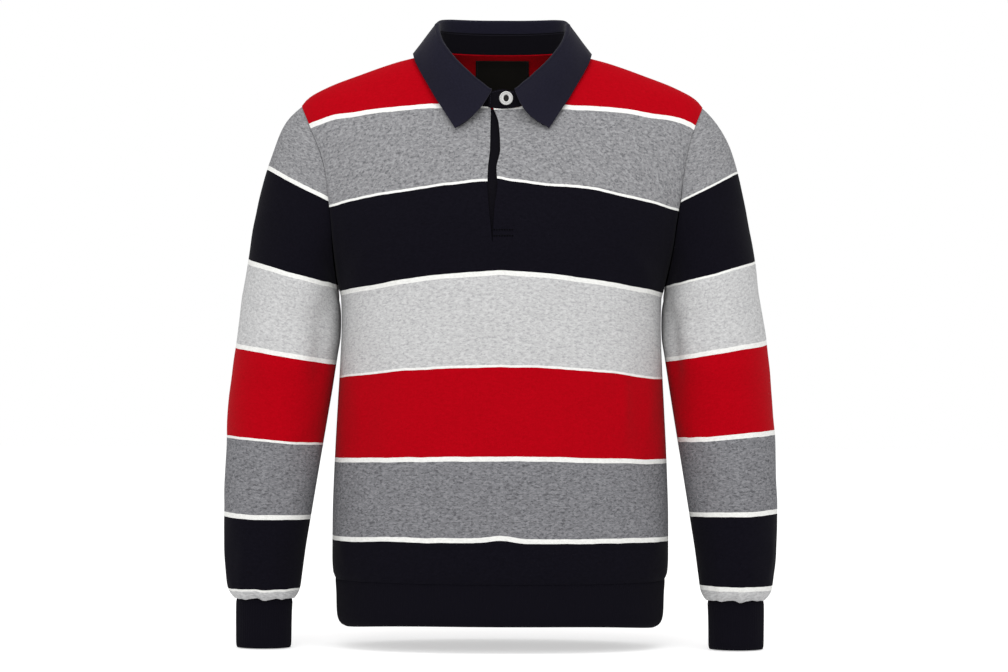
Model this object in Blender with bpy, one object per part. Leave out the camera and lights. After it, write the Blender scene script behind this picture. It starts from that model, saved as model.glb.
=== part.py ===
"""A striped long-sleeved sweater with a woven collar and a concealed half placket.

The garment is filled out as worn, with nobody in it. +Z is up, the front faces -Y and the
wearer's left is +X. The origin is the middle of the neck, level with the shoulder seams'
inner ends. All sizes are in metres.
"""
import math

import bmesh
import bpy
import numpy as np
from mathutils import Vector

# Cloth
JERSEY = 0.0016  # wall of the body and sleeves
RIB = 0.0020  # wall of the hem band and cuffs
TWILL = 0.0018  # wall of the collar, two layers of woven cotton
FACING = 0.0012  # wall of the woven strip under the placket
SEAM_GAP = 0.0003

# Body
SQUARENESS = 2.3  # exponent of the rounded oval that each level of the body follows
NECK_HALF_WIDTH = 0.076
SHOULDER_NECK_Z = 0.011
FRONT_NECK_Z = -0.0623
BACK_NECK_Z = 0.0095
SHOULDER_TIP_Z = -0.056
ARMPIT_Z = -0.287
BODY_HEM_Z = -0.6215
BAND_HEM_Z = -0.6690
ARMHOLE_LEAN = 0.0035  # the left armhole seam sits this much further out, the right one further in

# Levels of the body, its outer surface: height, half width, reach forward, reach back
BODY_LEVELS = (
    (0.0300, 0.0300, 0.0040, 0.0250),
    (0.0110, 0.0760, 0.0100, 0.0420),
    (-0.0036, 0.1302, 0.0220, 0.0560),
    (-0.0180, 0.1710, 0.0310, 0.0640),
    (-0.0324, 0.2080, 0.0380, 0.0715),
    (-0.0468, 0.2334, 0.0455, 0.0790),
    (-0.0560, 0.2406, 0.0505, 0.0835),
    (-0.0660, 0.2436, 0.0575, 0.0890),
    (-0.0800, 0.2446, 0.0670, 0.0970),
    (-0.1100, 0.2410, 0.0860, 0.1110),
    (-0.1500, 0.2345, 0.1070, 0.1220),
    (-0.2000, 0.2215, 0.1250, 0.1265),
    (-0.2400, 0.2069, 0.1310, 0.1255),
    (-0.2700, 0.1973, 0.1310, 0.1238),
    (-0.2870, 0.1928, 0.1302, 0.1228),
    (-0.3200, 0.1922, 0.1282, 0.1205),
    (-0.3636, 0.1938, 0.1255, 0.1178),
    (-0.4200, 0.1968, 0.1225, 0.1150),
    (-0.4900, 0.2003, 0.1202, 0.1130),
    (-0.5500, 0.2021, 0.1200, 0.1125),
    (-0.5950, 0.2023, 0.1200, 0.1125),
    (-0.6120, 0.2014, 0.1185, 0.1115),
    (-0.6215, 0.1985, 0.1155, 0.1085),
)

# Armhole seam seen from the front: height, distance from the middle
ARMHOLE_LINE = (
    (-0.0560, 0.2406),
    (-0.0660, 0.2360),
    (-0.0800, 0.2300),
    (-0.1100, 0.2190),
    (-0.1400, 0.2117),
    (-0.1720, 0.2079),
    (-0.2050, 0.2036),
    (-0.2300, 0.2010),
    (-0.2600, 0.1968),
    (-0.2780, 0.1939),
    (-0.2848, 0.19286),
    (-0.2870, 0.1928),
)

# Placket slit, an opening in the front just right of the middle: height, right edge, left edge
SLIT_LINE = (
    (-0.0620, -0.0125, -0.0105),
    (-0.0800, -0.0126, -0.0038),
    (-0.1120, -0.0127, -0.0015),
    (-0.1350, -0.0135, -0.0060),
    (-0.1540, -0.0140, -0.0050),
    (-0.1820, -0.0135, -0.0082),
    (-0.2000, -0.0124, -0.0093),
    (-0.2200, -0.0112, -0.0103),
)
SLIT_ROWS_CLOSED = 6  # rows above the armpit that stay closed under the slit
FLAP_LIFT = 0.0022  # the lapping edge stands this far off the strip under it
FLAP_REACH = 0.024

# Soft upright troughs where the body hangs from the chest: side, distance out, top, foot, depth
BODY_FOLDS = (
    ("front", 0.168, -0.300, -0.560, 0.0035),
    ("front", -0.162, -0.310, -0.545, 0.0032),
    ("front", 0.118, -0.420, -0.640, 0.0015),
    ("front", -0.105, -0.430, -0.640, 0.0014),
    ("back", 0.155, -0.290, -0.570, 0.0036),
    ("back", -0.158, -0.300, -0.580, 0.0034),
    ("back", 0.052, -0.330, -0.600, 0.0026),
    ("back", -0.060, -0.350, -0.610, 0.0024),
)
FOLD_HALF_WIDTH = 0.024

# Sleeve sections from the armhole to the cuff: outer edge x, z, inner edge x, z,
# half depth, middle y, share of the armhole's own shape, height of the gathers.
# The right sleeve hangs a little further back.
SLEEVE_SECTIONS = (
    (0.2406, -0.0560, 0.1928, -0.2870, 0.0560, 0.0035, 1.00, 0.0000),
    (0.2600, -0.0790, 0.1936, -0.2915, 0.0595, 0.0030, 0.76, 0.0000),
    (0.2745, -0.1100, 0.1937, -0.2970, 0.0622, 0.0018, 0.55, 0.0000),
    (0.2860, -0.1480, 0.1936, -0.3035, 0.0643, 0.0006, 0.36, 0.0000),
    (0.2950, -0.1910, 0.1935, -0.3110, 0.0658, -0.0008, 0.20, 0.0000),
    (0.3031, -0.2370, 0.1935, -0.3200, 0.0665, -0.0022, 0.09, 0.0000),
    (0.3100, -0.2850, 0.1942, -0.3330, 0.0663, -0.0040, 0.03, 0.0000),
    (0.3165, -0.3320, 0.1959, -0.3550, 0.0652, -0.0062, 0.00, 0.0000),
    (0.3222, -0.3780, 0.2007, -0.3900, 0.0628, -0.0088, 0.00, 0.0000),
    (0.3264, -0.4270, 0.2080, -0.4340, 0.0598, -0.0118, 0.00, 0.0000),
    (0.3288, -0.4800, 0.2160, -0.4830, 0.0570, -0.0155, 0.00, 0.0000),
    (0.3300, -0.5340, 0.2243, -0.5350, 0.0538, -0.0202, 0.00, 0.0000),
    (0.3289, -0.5850, 0.2321, -0.5850, 0.0498, -0.0250, 0.00, 0.0004),
    (0.3266, -0.6140, 0.2359, -0.6140, 0.0462, -0.0280, 0.00, 0.0009),
    (0.3240, -0.6310, 0.2384, -0.6310, 0.0425, -0.0300, 0.00, 0.0015),
    (0.3203, -0.6400, 0.2414, -0.6400, 0.0372, -0.0308, 0.00, 0.0017),
    (0.3157, -0.6460, 0.2452, -0.6460, 0.0305, -0.0312, 0.00, 0.0006),
)
SLEEVE_COLUMNS = 32
SLEEVE_GATHERS = 8
RIGHT_SLEEVE_BACK = 0.0012

# Cuff sections: height, outer edge x, inner edge x, half depth, middle y
CUFF_SECTIONS = (
    (-0.6465, 0.3149, 0.2463, 0.0292, -0.0312),
    (-0.6600, 0.3143, 0.2475, 0.0282, -0.0320),
    (-0.6810, 0.3141, 0.2479, 0.0279, -0.0328),
    (-0.7020, 0.3137, 0.2481, 0.0276, -0.0334),
)

# Hem band levels: height at the middle, half width, reach forward, reach back
BAND_LEVELS = (
    (-0.6219, 0.1974, 0.1144, 0.1074),
    (-0.6380, 0.1965, 0.1135, 0.1065),
    (-0.6530, 0.1961, 0.1131, 0.1061),
    (-0.6620, 0.1954, 0.1124, 0.1054),
    (BAND_HEM_Z, 0.1922, 0.1096, 0.1026),
)
BAND_DROP = 0.0070  # the band's lower edge hangs this much lower at the sides than in the middle

# Rows and columns of the panels
ROWS_BELOW_ARMPIT = 7
ROWS_ABOVE_ARMPIT = 16
SHOULDER_COLUMNS = 6
FRONT_NECK_COLUMNS = 7
BACK_NECK_COLUMNS = 5
NECK_CROWDING = 1.35  # above 1, points of the front neckline draw closer towards the shoulder
TOP_CROWDING = 1.4  # above 1, rows draw closer towards the neck and shoulder

# Collar: along it from 0 at the back to 1 at the middle of the front
SHOULDER_STATION = 0.4
STAND_GAP = 0.0006  # over the neck seam
STAND_OVERLAP = 0.060  # how far each end passes the middle of the front, as a share of the same run
STAND_LAP = 0.0016  # each lapping end moves this far off the ring, one out and one in
# Collar height over its neck seam: place along it, stand, crest of the fold
COLLAR_HEIGHTS = (
    (0.00, 0.0252, 0.0412),
    (0.20, 0.0250, 0.0402),
    (0.30, 0.0246, 0.0380),
    (0.40, 0.0236, 0.0322),
    (0.50, 0.0240, 0.0338),
    (0.60, 0.0250, 0.0365),
    (0.70, 0.0250, 0.0385),
    (0.76, 0.0245, 0.0375),
    (0.83, 0.0230, 0.0345),
    (0.89, 0.0210, 0.0290),
    (0.95, 0.0202, 0.0244),
    (1.00, 0.0232, 0.0270),
    (1.06, 0.0222, 0.0275),
)
# Outer edge of the collar leaf: place along it, distance out, height, distance off the body,
# and how far the leaf swells off a straight fall
LEAF_EDGE = (
    (0.00, 0.0000, -0.0060, 0.0050, 0.0035),
    (0.10, 0.0330, -0.0050, 0.0050, 0.0035),
    (0.20, 0.0640, -0.0020, 0.0050, 0.0030),
    (0.30, 0.0930, 0.0035, 0.0050, 0.0015),
    (0.40, 0.1065, 0.0060, 0.0020, 0.0003),
    (0.50, 0.1040, -0.0045, 0.0040, 0.0015),
    (0.60, 0.0975, -0.0180, 0.0034, 0.0040),
    (0.70, 0.0885, -0.0340, 0.0036, 0.0055),
    (0.80, 0.0775, -0.0535, 0.0036, 0.0060),
    (0.90, 0.0650, -0.0735, 0.0036, 0.0050),
    (0.947, 0.0550, -0.0893, 0.0036, 0.0040),
)
# The leaf's front edges, right and left: place along the collar, and how far each bows inwards
LEAF_ENDS = (0.966, 0.944)
LEAF_FRONT_BOWS = (0.0062, 0.0085)
LEAF_BOW_FROM = 0.74  # the bow fades out by this place
LEAF_ROLL = 0.0024  # radius of the fold at the crest

# Small pieces
BUTTON_RADIUS = 0.0081
BUTTON_HOLE_RADIUS = 0.0031
BUTTON_THICKNESS = 0.0030
BUTTON_X = 0.0048
BUTTON_Z = -0.0500
LABEL_HALF_WIDTH = 0.0325
LABEL_TOP_Z = 0.0043
LABEL_FOOT_Z = -0.0290
LABEL_THICKNESS = 0.0010
UNDER_PLACKET_EDGES = (-0.0290, 0.0130)
UNDER_PLACKET_FOOT_Z = -0.2270

NAVY = ((0.0072, 0.0066, 0.0105), 0.85)
COLLAR_NAVY = ((0.0137, 0.0129, 0.0232), 0.8)
GREY = ((0.25, 0.25, 0.26), 0.9)
WHITE = ((0.80, 0.80, 0.77), 0.45)
BLACK = ((0.006, 0.0055, 0.005), 0.7)


def smooth(table, column):
    """A curve through one column of a table, by the table's first column, with no overshoot."""
    rows = sorted(table)
    x = np.array([row[0] for row in rows], float)
    y = np.array([row[column] for row in rows], float)
    step = np.diff(x)
    rise = np.diff(y) / step
    slope = np.zeros(len(x))
    for i in range(1, len(x) - 1):
        if rise[i - 1] * rise[i] > 0:
            w1, w2 = 2 * step[i] + step[i - 1], step[i] + 2 * step[i - 1]
            slope[i] = (w1 + w2) / (w1 / rise[i - 1] + w2 / rise[i])
    slope[0], slope[-1] = rise[0], rise[-1]

    def value(at):
        i = int(np.clip(np.searchsorted(x, at) - 1, 0, len(step) - 1))
        t = min(max((at - x[i]) / step[i], 0.0), 1.0)
        return float(
            (1 + 2 * t) * (1 - t) ** 2 * y[i]
            + t * (1 - t) ** 2 * step[i] * slope[i]
            + t * t * (3 - 2 * t) * y[i + 1]
            + t * t * (t - 1) * step[i] * slope[i + 1]
        )

    return value


def ease(t):
    """0 to 1 with level ends."""
    t = min(max(t, 0.0), 1.0)
    return t * t * (3 - 2 * t)


# The body's form
half_width = smooth(BODY_LEVELS, 1)
reach = {"front": smooth(BODY_LEVELS, 2), "back": smooth(BODY_LEVELS, 3)}
facing = {"front": -1.0, "back": 1.0}
armhole_line = smooth(ARMHOLE_LINE, 1)
slit_right = smooth(SLIT_LINE, 1)
slit_left = smooth(SLIT_LINE, 2)


def depth_at(side, x, z):
    """How far the form reaches forward or back at a point of the front view."""
    share = 1.0 - min(abs(x) / half_width(z), 1.0) ** SQUARENESS
    return reach[side](z) * share ** (1 / SQUARENESS)


def normal_at(side, x, depth, z):
    """The outward direction there, from the slope of the form's equation."""
    def form(height):
        return (abs(x) / half_width(height)) ** SQUARENESS + (depth / reach[side](height)) ** SQUARENESS

    small = 0.0004
    power = SQUARENESS - 1
    along_x = math.copysign(SQUARENESS * (abs(x) / half_width(z)) ** power / half_width(z), x)
    along_y = SQUARENESS * (depth / reach[side](z)) ** power / reach[side](z)
    along_z = (form(z + small) - form(z - small)) / (2 * small)
    return Vector((along_x, facing[side] * along_y, along_z)).normalized()


def fold_depth(side, x, z):
    """How deep the soft troughs of the body are at this point."""
    deep = 0.0
    for where, out, top, foot, most in BODY_FOLDS:
        if where == side and foot < z < top:
            across = (x - out) / FOLD_HALF_WIDTH
            along = math.sin(math.pi * (z - foot) / (top - foot)) ** 2
            deep += most * along * math.exp(-across * across)
    return deep


def body_point(side, x, z, off=0.0):
    """A point of the body's outer surface, moved off it by a distance."""
    depth = depth_at(side, x, z)
    normal = normal_at(side, x, depth, z)
    place = Vector((x, facing[side] * (depth + SEAM_GAP / 2), z))
    return place + normal * (off - fold_depth(side, x, z))


def shoulder_z(x):
    """Height of the shoulder seam at a distance out."""
    low, high = SHOULDER_TIP_Z, SHOULDER_NECK_Z
    for _ in range(40):
        middle = (low + high) / 2
        if half_width(middle) > x:
            low = middle
        else:
            high = middle
    return (low + high) / 2


def armhole_x(z, hand):
    """Distance of the armhole seam from the middle; hand is 1 on the wearer's left, -1 on the right."""
    lean = math.sin(math.pi * (SHOULDER_TIP_Z - z) / (SHOULDER_TIP_Z - ARMPIT_Z))
    return armhole_line(z) + hand * ARMHOLE_LEAN * lean * lean


def neck_turn(share):
    """Angle of a front neckline point, share running from 0 at the middle to 1 at the shoulder."""
    return math.pi / 2 * (1 - (1 - share) ** NECK_CROWDING)


def front_neckline(turn):
    """The front neckline in the front view: turn runs from 0 at the middle to 90 degrees at the shoulder."""
    drop = SHOULDER_NECK_Z - FRONT_NECK_Z
    return NECK_HALF_WIDTH * math.sin(turn), SHOULDER_NECK_Z - drop * math.cos(turn)


def back_neckline(turn):
    """The back neckline in the front view, counted in the same way."""
    x = NECK_HALF_WIDTH * math.sin(turn) ** (2 / SQUARENESS)
    share = (x / NECK_HALF_WIDTH) ** 2
    return x, BACK_NECK_Z + (SHOULDER_NECK_Z - BACK_NECK_Z) * share


def top_edge(neckline, neck_columns, place):
    """Neckline, then shoulder seam; place counts columns out from the middle."""
    if place <= neck_columns:
        share = place / neck_columns
        return neckline(neck_turn(share) if neckline is front_neckline else math.pi / 2 * share)
    share = (place - neck_columns) / SHOULDER_COLUMNS
    x = NECK_HALF_WIDTH + (half_width(SHOULDER_TIP_Z) - NECK_HALF_WIDTH) * share
    return x, shoulder_z(x)


def panel_spot(neckline, neck_columns, hand, place, row):
    """Front-view place of a grid point: rows count up from the hem, columns out from the middle."""
    columns = neck_columns + SHOULDER_COLUMNS
    turn = math.pi / 2 * place / columns
    if row <= ROWS_BELOW_ARMPIT:
        share = row / ROWS_BELOW_ARMPIT
        z = BODY_HEM_Z + (ARMPIT_Z - BODY_HEM_Z) * share ** 1.25
        return hand * half_width(z) * math.sin(turn) ** (2 / SQUARENESS), z
    climb = (row - ROWS_BELOW_ARMPIT) / ROWS_ABOVE_ARMPIT
    even = (1 - math.cos(math.pi * climb)) / 2  # along the armhole, evenly spaced round it
    crowded = 1 - (1 - climb) ** TOP_CROWDING
    towards_armhole = max(place - neck_columns, 0) / SHOULDER_COLUMNS
    share = crowded + (even - crowded) * towards_armhole
    edge_z = ARMPIT_Z + (SHOULDER_TIP_Z - ARMPIT_Z) * share
    top_x, top_z = top_edge(neckline, neck_columns, place)
    z = ARMPIT_Z + (top_z - ARMPIT_Z) * share
    low_ratio = math.sin(turn) ** (2 / SQUARENESS)
    top_ratio = top_x / half_width(SHOULDER_TIP_Z)
    ratio = low_ratio + (top_ratio - low_ratio) * share
    return hand * armhole_x(edge_z, hand) * ratio, z


def clear_of_form(x, z):
    """Keeps a grid point on the form where the shoulder narrows above it."""
    return math.copysign(min(abs(x), half_width(z)), x)


def link(name, mesh, finish, collection):
    """An object with its own material, in the garment's collection."""
    colour, roughness = finish
    material = bpy.data.materials.new(name)
    material.use_nodes = True
    shader = material.node_tree.nodes["Principled BSDF"]
    shader.inputs["Base Color"].default_value = (*colour, 1.0)
    shader.inputs["Roughness"].default_value = roughness
    shader.inputs["Metallic"].default_value = 0.0
    material.diffuse_color = (*colour, 1.0)
    mesh.materials.append(material)
    piece = bpy.data.objects.new(name, mesh)
    collection.objects.link(piece)
    return piece


def wall(name, outer, inner, finish, collection, wrap=False, left_out=()):
    """A cloth wall between two grids of points, closed by rims along every open edge."""
    shape = bmesh.new()
    skins = [[[shape.verts.new(p) for p in row] for row in grid] for grid in (outer, inner)]
    columns = len(outer[0])
    edges = set()
    for r in range(len(outer) - 1):
        for c in range(columns if wrap else columns - 1):
            if (r, c) in left_out:
                continue
            d = (c + 1) % columns
            corners = [(r, c), (r, d), (r + 1, d), (r + 1, c)]
            edges.update(zip(corners, corners[1:] + corners[:1]))
            a, b, e, f = [outer[i][j] for i, j in corners]
            if (a - e).length > (b - f).length:  # both skins are split along the same diagonal
                corners = corners[1:] + corners[:1]
            for half in (corners[:3], [corners[0], corners[2], corners[3]]):
                shape.faces.new([skins[0][i][j] for i, j in half])
                shape.faces.new([skins[1][i][j] for i, j in reversed(half)])
    for a, b in edges:
        if (b, a) not in edges:
            shape.faces.new([skins[0][b[0]][b[1]], skins[0][a[0]][a[1]],
                             skins[1][a[0]][a[1]], skins[1][b[0]][b[1]]])
    bmesh.ops.recalc_face_normals(shape, faces=shape.faces)
    mesh = bpy.data.meshes.new(name)
    shape.to_mesh(mesh)
    shape.free()
    mesh.shade_smooth()
    mesh.set_sharp_from_angle(angle=math.radians(50))
    return link(name, mesh, finish, collection)


def grid_normals(grid, wrap, flip=1.0):
    """Directions square to a grid of points, from its neighbours along both ways."""
    rows, columns = len(grid), len(grid[0])
    found = []
    for r in range(rows):
        line = []
        for c in range(columns):
            before = grid[r][(c - 1) % columns] if wrap or c > 0 else grid[r][c]
            after = grid[r][(c + 1) % columns] if wrap or c < columns - 1 else grid[r][c]
            under, over = grid[max(r - 1, 0)][c], grid[min(r + 1, rows - 1)][c]
            line.append((after - before).cross(over - under).normalized() * flip)
        found.append(line)
    return found


def moved(grid, normals, off):
    """A grid moved along its normals."""
    return [[p + n * off for p, n in zip(*lines)] for lines in zip(grid, normals)]


def slit_foot_z():
    """Height of the slit's closed end, at the middle of the front."""
    return panel_spot(front_neckline, FRONT_NECK_COLUMNS, 1, 0, ROWS_BELOW_ARMPIT + SLIT_ROWS_CLOSED)[1]


def front_spots():
    """Front-view places of the front's grid, with two more columns along the slit."""
    columns = FRONT_NECK_COLUMNS + SHOULDER_COLUMNS
    last = ROWS_BELOW_ARMPIT + ROWS_ABOVE_ARMPIT
    spots = []
    for row in range(last + 1):
        left = [panel_spot(front_neckline, FRONT_NECK_COLUMNS, 1, c, row) for c in range(columns + 1)]
        right = [panel_spot(front_neckline, FRONT_NECK_COLUMNS, -1, c, row)
                 for c in range(columns, 0, -1)]
        z = left[0][1]
        if row < ROWS_BELOW_ARMPIT + SLIT_ROWS_CLOSED:
            edges = 0.62 * right[-1][0], 0.30 * right[-1][0]
        else:
            edges = slit_right(z), slit_left(z)
        beside_x, beside_z = right[-1]
        slit = [(x, z + (beside_z - z) * x / beside_x) for x in edges]
        spots.append([(clear_of_form(x, z), z) for x, z in right + slit + left])
    return spots


def back_spots():
    """Front-view places of the back's grid."""
    columns = BACK_NECK_COLUMNS + SHOULDER_COLUMNS
    spots = []
    for row in range(ROWS_BELOW_ARMPIT + ROWS_ABOVE_ARMPIT + 1):
        line = [panel_spot(back_neckline, BACK_NECK_COLUMNS, math.copysign(1, c), abs(c), row)
                for c in range(-columns, columns + 1)]
        spots.append([(clear_of_form(x, z), z) for x, z in line])
    return spots


def skin(side, spots, off):
    """A panel's grid of points, moved off the form by one distance."""
    return [[body_point(side, x, z, off) for x, z in line] for line in spots]


def build_front(collection):
    """Front panel, with the slit of the half placket left open down from the neck."""
    spots = front_spots()
    slit_column = FRONT_NECK_COLUMNS + SHOULDER_COLUMNS
    slit_foot = ROWS_BELOW_ARMPIT + SLIT_ROWS_CLOSED
    grids = [], []
    for row, line in enumerate(spots):
        for grid in grids:
            grid.append([])
        for column, (x, z) in enumerate(line):
            lift = 0.0
            if column > slit_column and row > slit_foot:
                across = ease(1 - (x - slit_left(z)) / FLAP_REACH)
                lift = FLAP_LIFT * across * ease((z - slit_foot_z()) / 0.03)
            forward = Vector((0.0, -lift, 0.0))
            grids[0][-1].append(body_point("front", x, z) + forward)
            grids[1][-1].append(body_point("front", x, z, -JERSEY) + forward)
    open_cells = {(row, slit_column) for row in range(slit_foot, len(spots) - 1)}
    wall("front", *grids, GREY, collection, left_out=open_cells)


def build_back(collection):
    """Back panel, whole from neck to hem."""
    spots = back_spots()
    wall("back", skin("back", spots, 0.0), skin("back", spots, -JERSEY), GREY, collection)


def on_panel(spots, points, x, z):
    """The point of a panel's own facets that lies at one place of the front view."""
    for row in range(len(spots) - 1):
        for column in range(len(spots[0]) - 1):
            corner = spots[row][column]
            beside = spots[row][column + 1]
            over = spots[row + 1][column]
            opposite = spots[row + 1][column + 1]
            u = v = 0.5
            for _ in range(6):
                at = [(1 - v) * ((1 - u) * corner[i] + u * beside[i])
                      + v * ((1 - u) * over[i] + u * opposite[i]) for i in (0, 1)]
                du = [(1 - v) * (beside[i] - corner[i]) + v * (opposite[i] - over[i]) for i in (0, 1)]
                dv = [(1 - u) * (over[i] - corner[i]) + u * (opposite[i] - beside[i]) for i in (0, 1)]
                turn = du[0] * dv[1] - du[1] * dv[0]
                if abs(turn) < 1e-12:
                    break
                miss = x - at[0], z - at[1]
                u += (miss[0] * dv[1] - miss[1] * dv[0]) / turn
                v += (du[0] * miss[1] - du[1] * miss[0]) / turn
            found = math.hypot(*miss) < 1e-6
            if found and -1e-6 <= u <= 1 + 1e-6 and -1e-6 <= v <= 1 + 1e-6:
                low = points[row][column].lerp(points[row][column + 1], u)
                return low.lerp(points[row + 1][column].lerp(points[row + 1][column + 1], u), v)
    raise ValueError(f"no panel at {x:.4f}, {z:.4f}")


def build_band(collection):
    """Ribbed hem band, one tube round the foot of both panels."""
    width, front, back = (smooth(BAND_LEVELS, i) for i in (1, 2, 3))
    grids = [], []
    fronts = FRONT_NECK_COLUMNS + SHOULDER_COLUMNS
    backs = BACK_NECK_COLUMNS + SHOULDER_COLUMNS
    turns = [math.pi / 2 * c / fronts for c in range(-fronts, fronts + 1)]
    turns += [math.pi - math.pi / 2 * c / backs for c in range(backs - 1, -backs, -1)]
    for z, *_ in BAND_LEVELS:
        down = (BODY_HEM_Z - z) / (BODY_HEM_Z - BAND_HEM_Z)
        for off, grid in ((0.0, grids[0]), (-RIB, grids[1])):
            line = []
            for turn in turns:
                s, c = math.sin(turn), math.cos(turn)
                deep = (front(z) if c >= 0 else back(z)) + off
                power = 2 / SQUARENESS
                drop = BAND_DROP * down ** 2 * abs(s) ** (4 * power)
                line.append(Vector((math.copysign((width(z) + off) * abs(s) ** power, s),
                                    -math.copysign(deep * abs(c) ** power, c), z - drop)))
            grid.append(line)
    wall("hem_band", *grids, NAVY, collection, wrap=True)


def sleeve_rings(hand):
    """Outer rings of a sleeve from the armhole down, each from its top round by the front."""
    rings = []
    middle_z = (SHOULDER_TIP_Z + ARMPIT_Z) / 2
    half_height = (SHOULDER_TIP_Z - ARMPIT_Z) / 2
    own = []
    for c in range(SLEEVE_COLUMNS):
        turn = 2 * math.pi * c / SLEEVE_COLUMNS
        z = middle_z + half_height * math.cos(turn)
        side = "front" if c <= SLEEVE_COLUMNS / 2 else "back"
        x = armhole_x(z, hand)
        edge = body_point(side, x, z)
        if c in (0, SLEEVE_COLUMNS // 2):
            edge.y = 0.0
        own.append(Vector((edge.x + SEAM_GAP, edge.y, edge.z)))
    for x_out, z_out, x_in, z_in, deep, y, share, gather in SLEEVE_SECTIONS:
        ring = []
        for c, edge in enumerate(own):
            turn = 2 * math.pi * c / SLEEVE_COLUMNS
            wave = 1 + gather * math.cos(SLEEVE_GATHERS * turn) / deep
            point = section_point(x_out, z_out, x_in, z_in, deep, y, turn, wave)
            first = section_point(*SLEEVE_SECTIONS[0][:6], turn, 1.0)
            point += (edge - first) * share
            if hand < 0:
                point.y += RIGHT_SLEEVE_BACK * (1 - share) * ease((-0.60 - point.z) / -0.05)
            ring.append(Vector((point.x * hand, point.y, point.z)))
        rings.append(ring)
    return rings


def section_point(x_out, z_out, x_in, z_in, deep, y, turn, wave):
    """A point of an oval between a sleeve's outer and inner edge, on the wearer's left."""
    along, across = math.cos(turn) * wave / 2, math.sin(turn) * wave
    return Vector((
        (x_out + x_in) / 2 + (x_out - x_in) * along,
        y - deep * across,
        (z_out + z_in) / 2 + (z_out - z_in) * along,
    ))


def build_sleeve(name, hand, collection):
    """Set-in sleeve, a tube from the armhole to the gathers over the cuff."""
    outer = sleeve_rings(hand)
    normals = grid_normals(outer, wrap=True, flip=outward(outer))
    wall(name, outer, moved(outer, normals, -JERSEY), GREY, collection, wrap=True)


def outward(rings):
    """1 or -1, so that a tube's normals point away from its middle."""
    ring = rings[-1]
    middle = sum(ring, Vector()) / len(ring)
    normal = grid_normals(rings, wrap=True)[-1][0]
    return math.copysign(1.0, normal.dot(ring[0] - middle))


def build_cuff(name, hand, collection):
    """Ribbed cuff, a straight tube."""
    grids = [], []
    for z, x_out, x_in, deep, y in CUFF_SECTIONS:
        for off, grid in ((0.0, grids[0]), (-RIB, grids[1])):
            line = []
            for c in range(SLEEVE_COLUMNS):
                turn = 2 * math.pi * c / SLEEVE_COLUMNS
                x = (x_out + x_in) / 2 + ((x_out - x_in) / 2 + off) * math.cos(turn)
                line.append(Vector((hand * x, y - (deep + off) * math.sin(turn), z)))
            grid.append(line)
    wall(name, *grids, NAVY, collection, wrap=True)


# The collar
stand_height = smooth(COLLAR_HEIGHTS, 1)
crest_height = smooth(COLLAR_HEIGHTS, 2)
leaf_out = smooth(LEAF_EDGE, 1)
leaf_z = smooth(LEAF_EDGE, 2)
leaf_clear = smooth(LEAF_EDGE, 3)
leaf_swell = smooth(LEAF_EDGE, 4)


def neck_corner(place):
    """A corner of the neck seam, where two of a panel's columns meet it."""
    hand = math.copysign(1.0, place)
    far = abs(place)
    if far <= SHOULDER_STATION:
        x, z = back_neckline(math.pi / 2 * far / SHOULDER_STATION)
        y = depth_at("back", x, z) if far < SHOULDER_STATION else 0.0
    else:
        x, z = front_neckline(neck_turn((1 - far) / (1 - SHOULDER_STATION)))
        y = -depth_at("front", x, z)
    return Vector((hand * x, y, z))


COLLAR_STATIONS = [SHOULDER_STATION * i / BACK_NECK_COLUMNS for i in range(BACK_NECK_COLUMNS)]
COLLAR_STATIONS += [SHOULDER_STATION + (1 - SHOULDER_STATION) * i / FRONT_NECK_COLUMNS
                    for i in range(FRONT_NECK_COLUMNS + 1)]


def neck_seam(place):
    """The neck seam: place runs from 0 at the back to 1 or -1 at the front, and on past it."""
    if abs(place) > 1:
        place -= math.copysign(2.0, place)
    far, hand = abs(place), math.copysign(1.0, place)
    i = 0
    while i < len(COLLAR_STATIONS) - 2 and COLLAR_STATIONS[i + 1] < far:
        i += 1
    start, end = COLLAR_STATIONS[i], COLLAR_STATIONS[i + 1]
    return neck_corner(hand * start).lerp(neck_corner(hand * end), (far - start) / (end - start))


def neck_outward(place):
    """Level direction away from the neck at a place on its seam."""
    along = neck_seam(place + 0.01) - neck_seam(place - 0.01)
    return Vector((-along.y, along.x, 0.0)).normalized()


def stand_lap(place):
    """The left end of the stand laps over the right end, so each moves off the ring."""
    return STAND_LAP * math.copysign(ease((abs(place) - 0.79) / 0.10), place)


def stand_point(place, share, off):
    """A point of the stand: share runs from 0 at the neck seam to 1 at its top."""
    seam = neck_seam(place)
    far = abs(place)
    high = stand_height(far)
    if far > 1.0:  # round the corner of the lapping tab
        past = (far - 1.0) / STAND_OVERLAP
        high *= 1 - 0.20 * past ** 1.5
    up = Vector((0.0, 0.0, STAND_GAP + high * share))
    return seam + up + neck_outward(place) * (stand_lap(place) + off)


def collar_places(right_ends, left_ends):
    """Places along the collar, at the panels' own columns, from the right end round to the left end."""
    right, left = ([place for place in COLLAR_STATIONS if place < ends[0]] + list(ends)
                   for ends in (right_ends, left_ends))
    return [-place for place in reversed(right[1:])] + left


def build_stand(collection):
    """Collar stand, a band that rises from the neck seam and laps at the front."""
    past = [1.0 + STAND_OVERLAP * share for share in (0.0, 0.5, 0.8, 1.0)]
    places = collar_places(*([end, *past] for end in LEAF_ENDS))
    half = TWILL / 2
    grids = [[[stand_point(p, share, off) for p in places] for share in (0.0, 0.5, 1.0)]
             for off in (half, -half)]
    wall("collar_stand", *grids, COLLAR_NAVY, collection)


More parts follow.
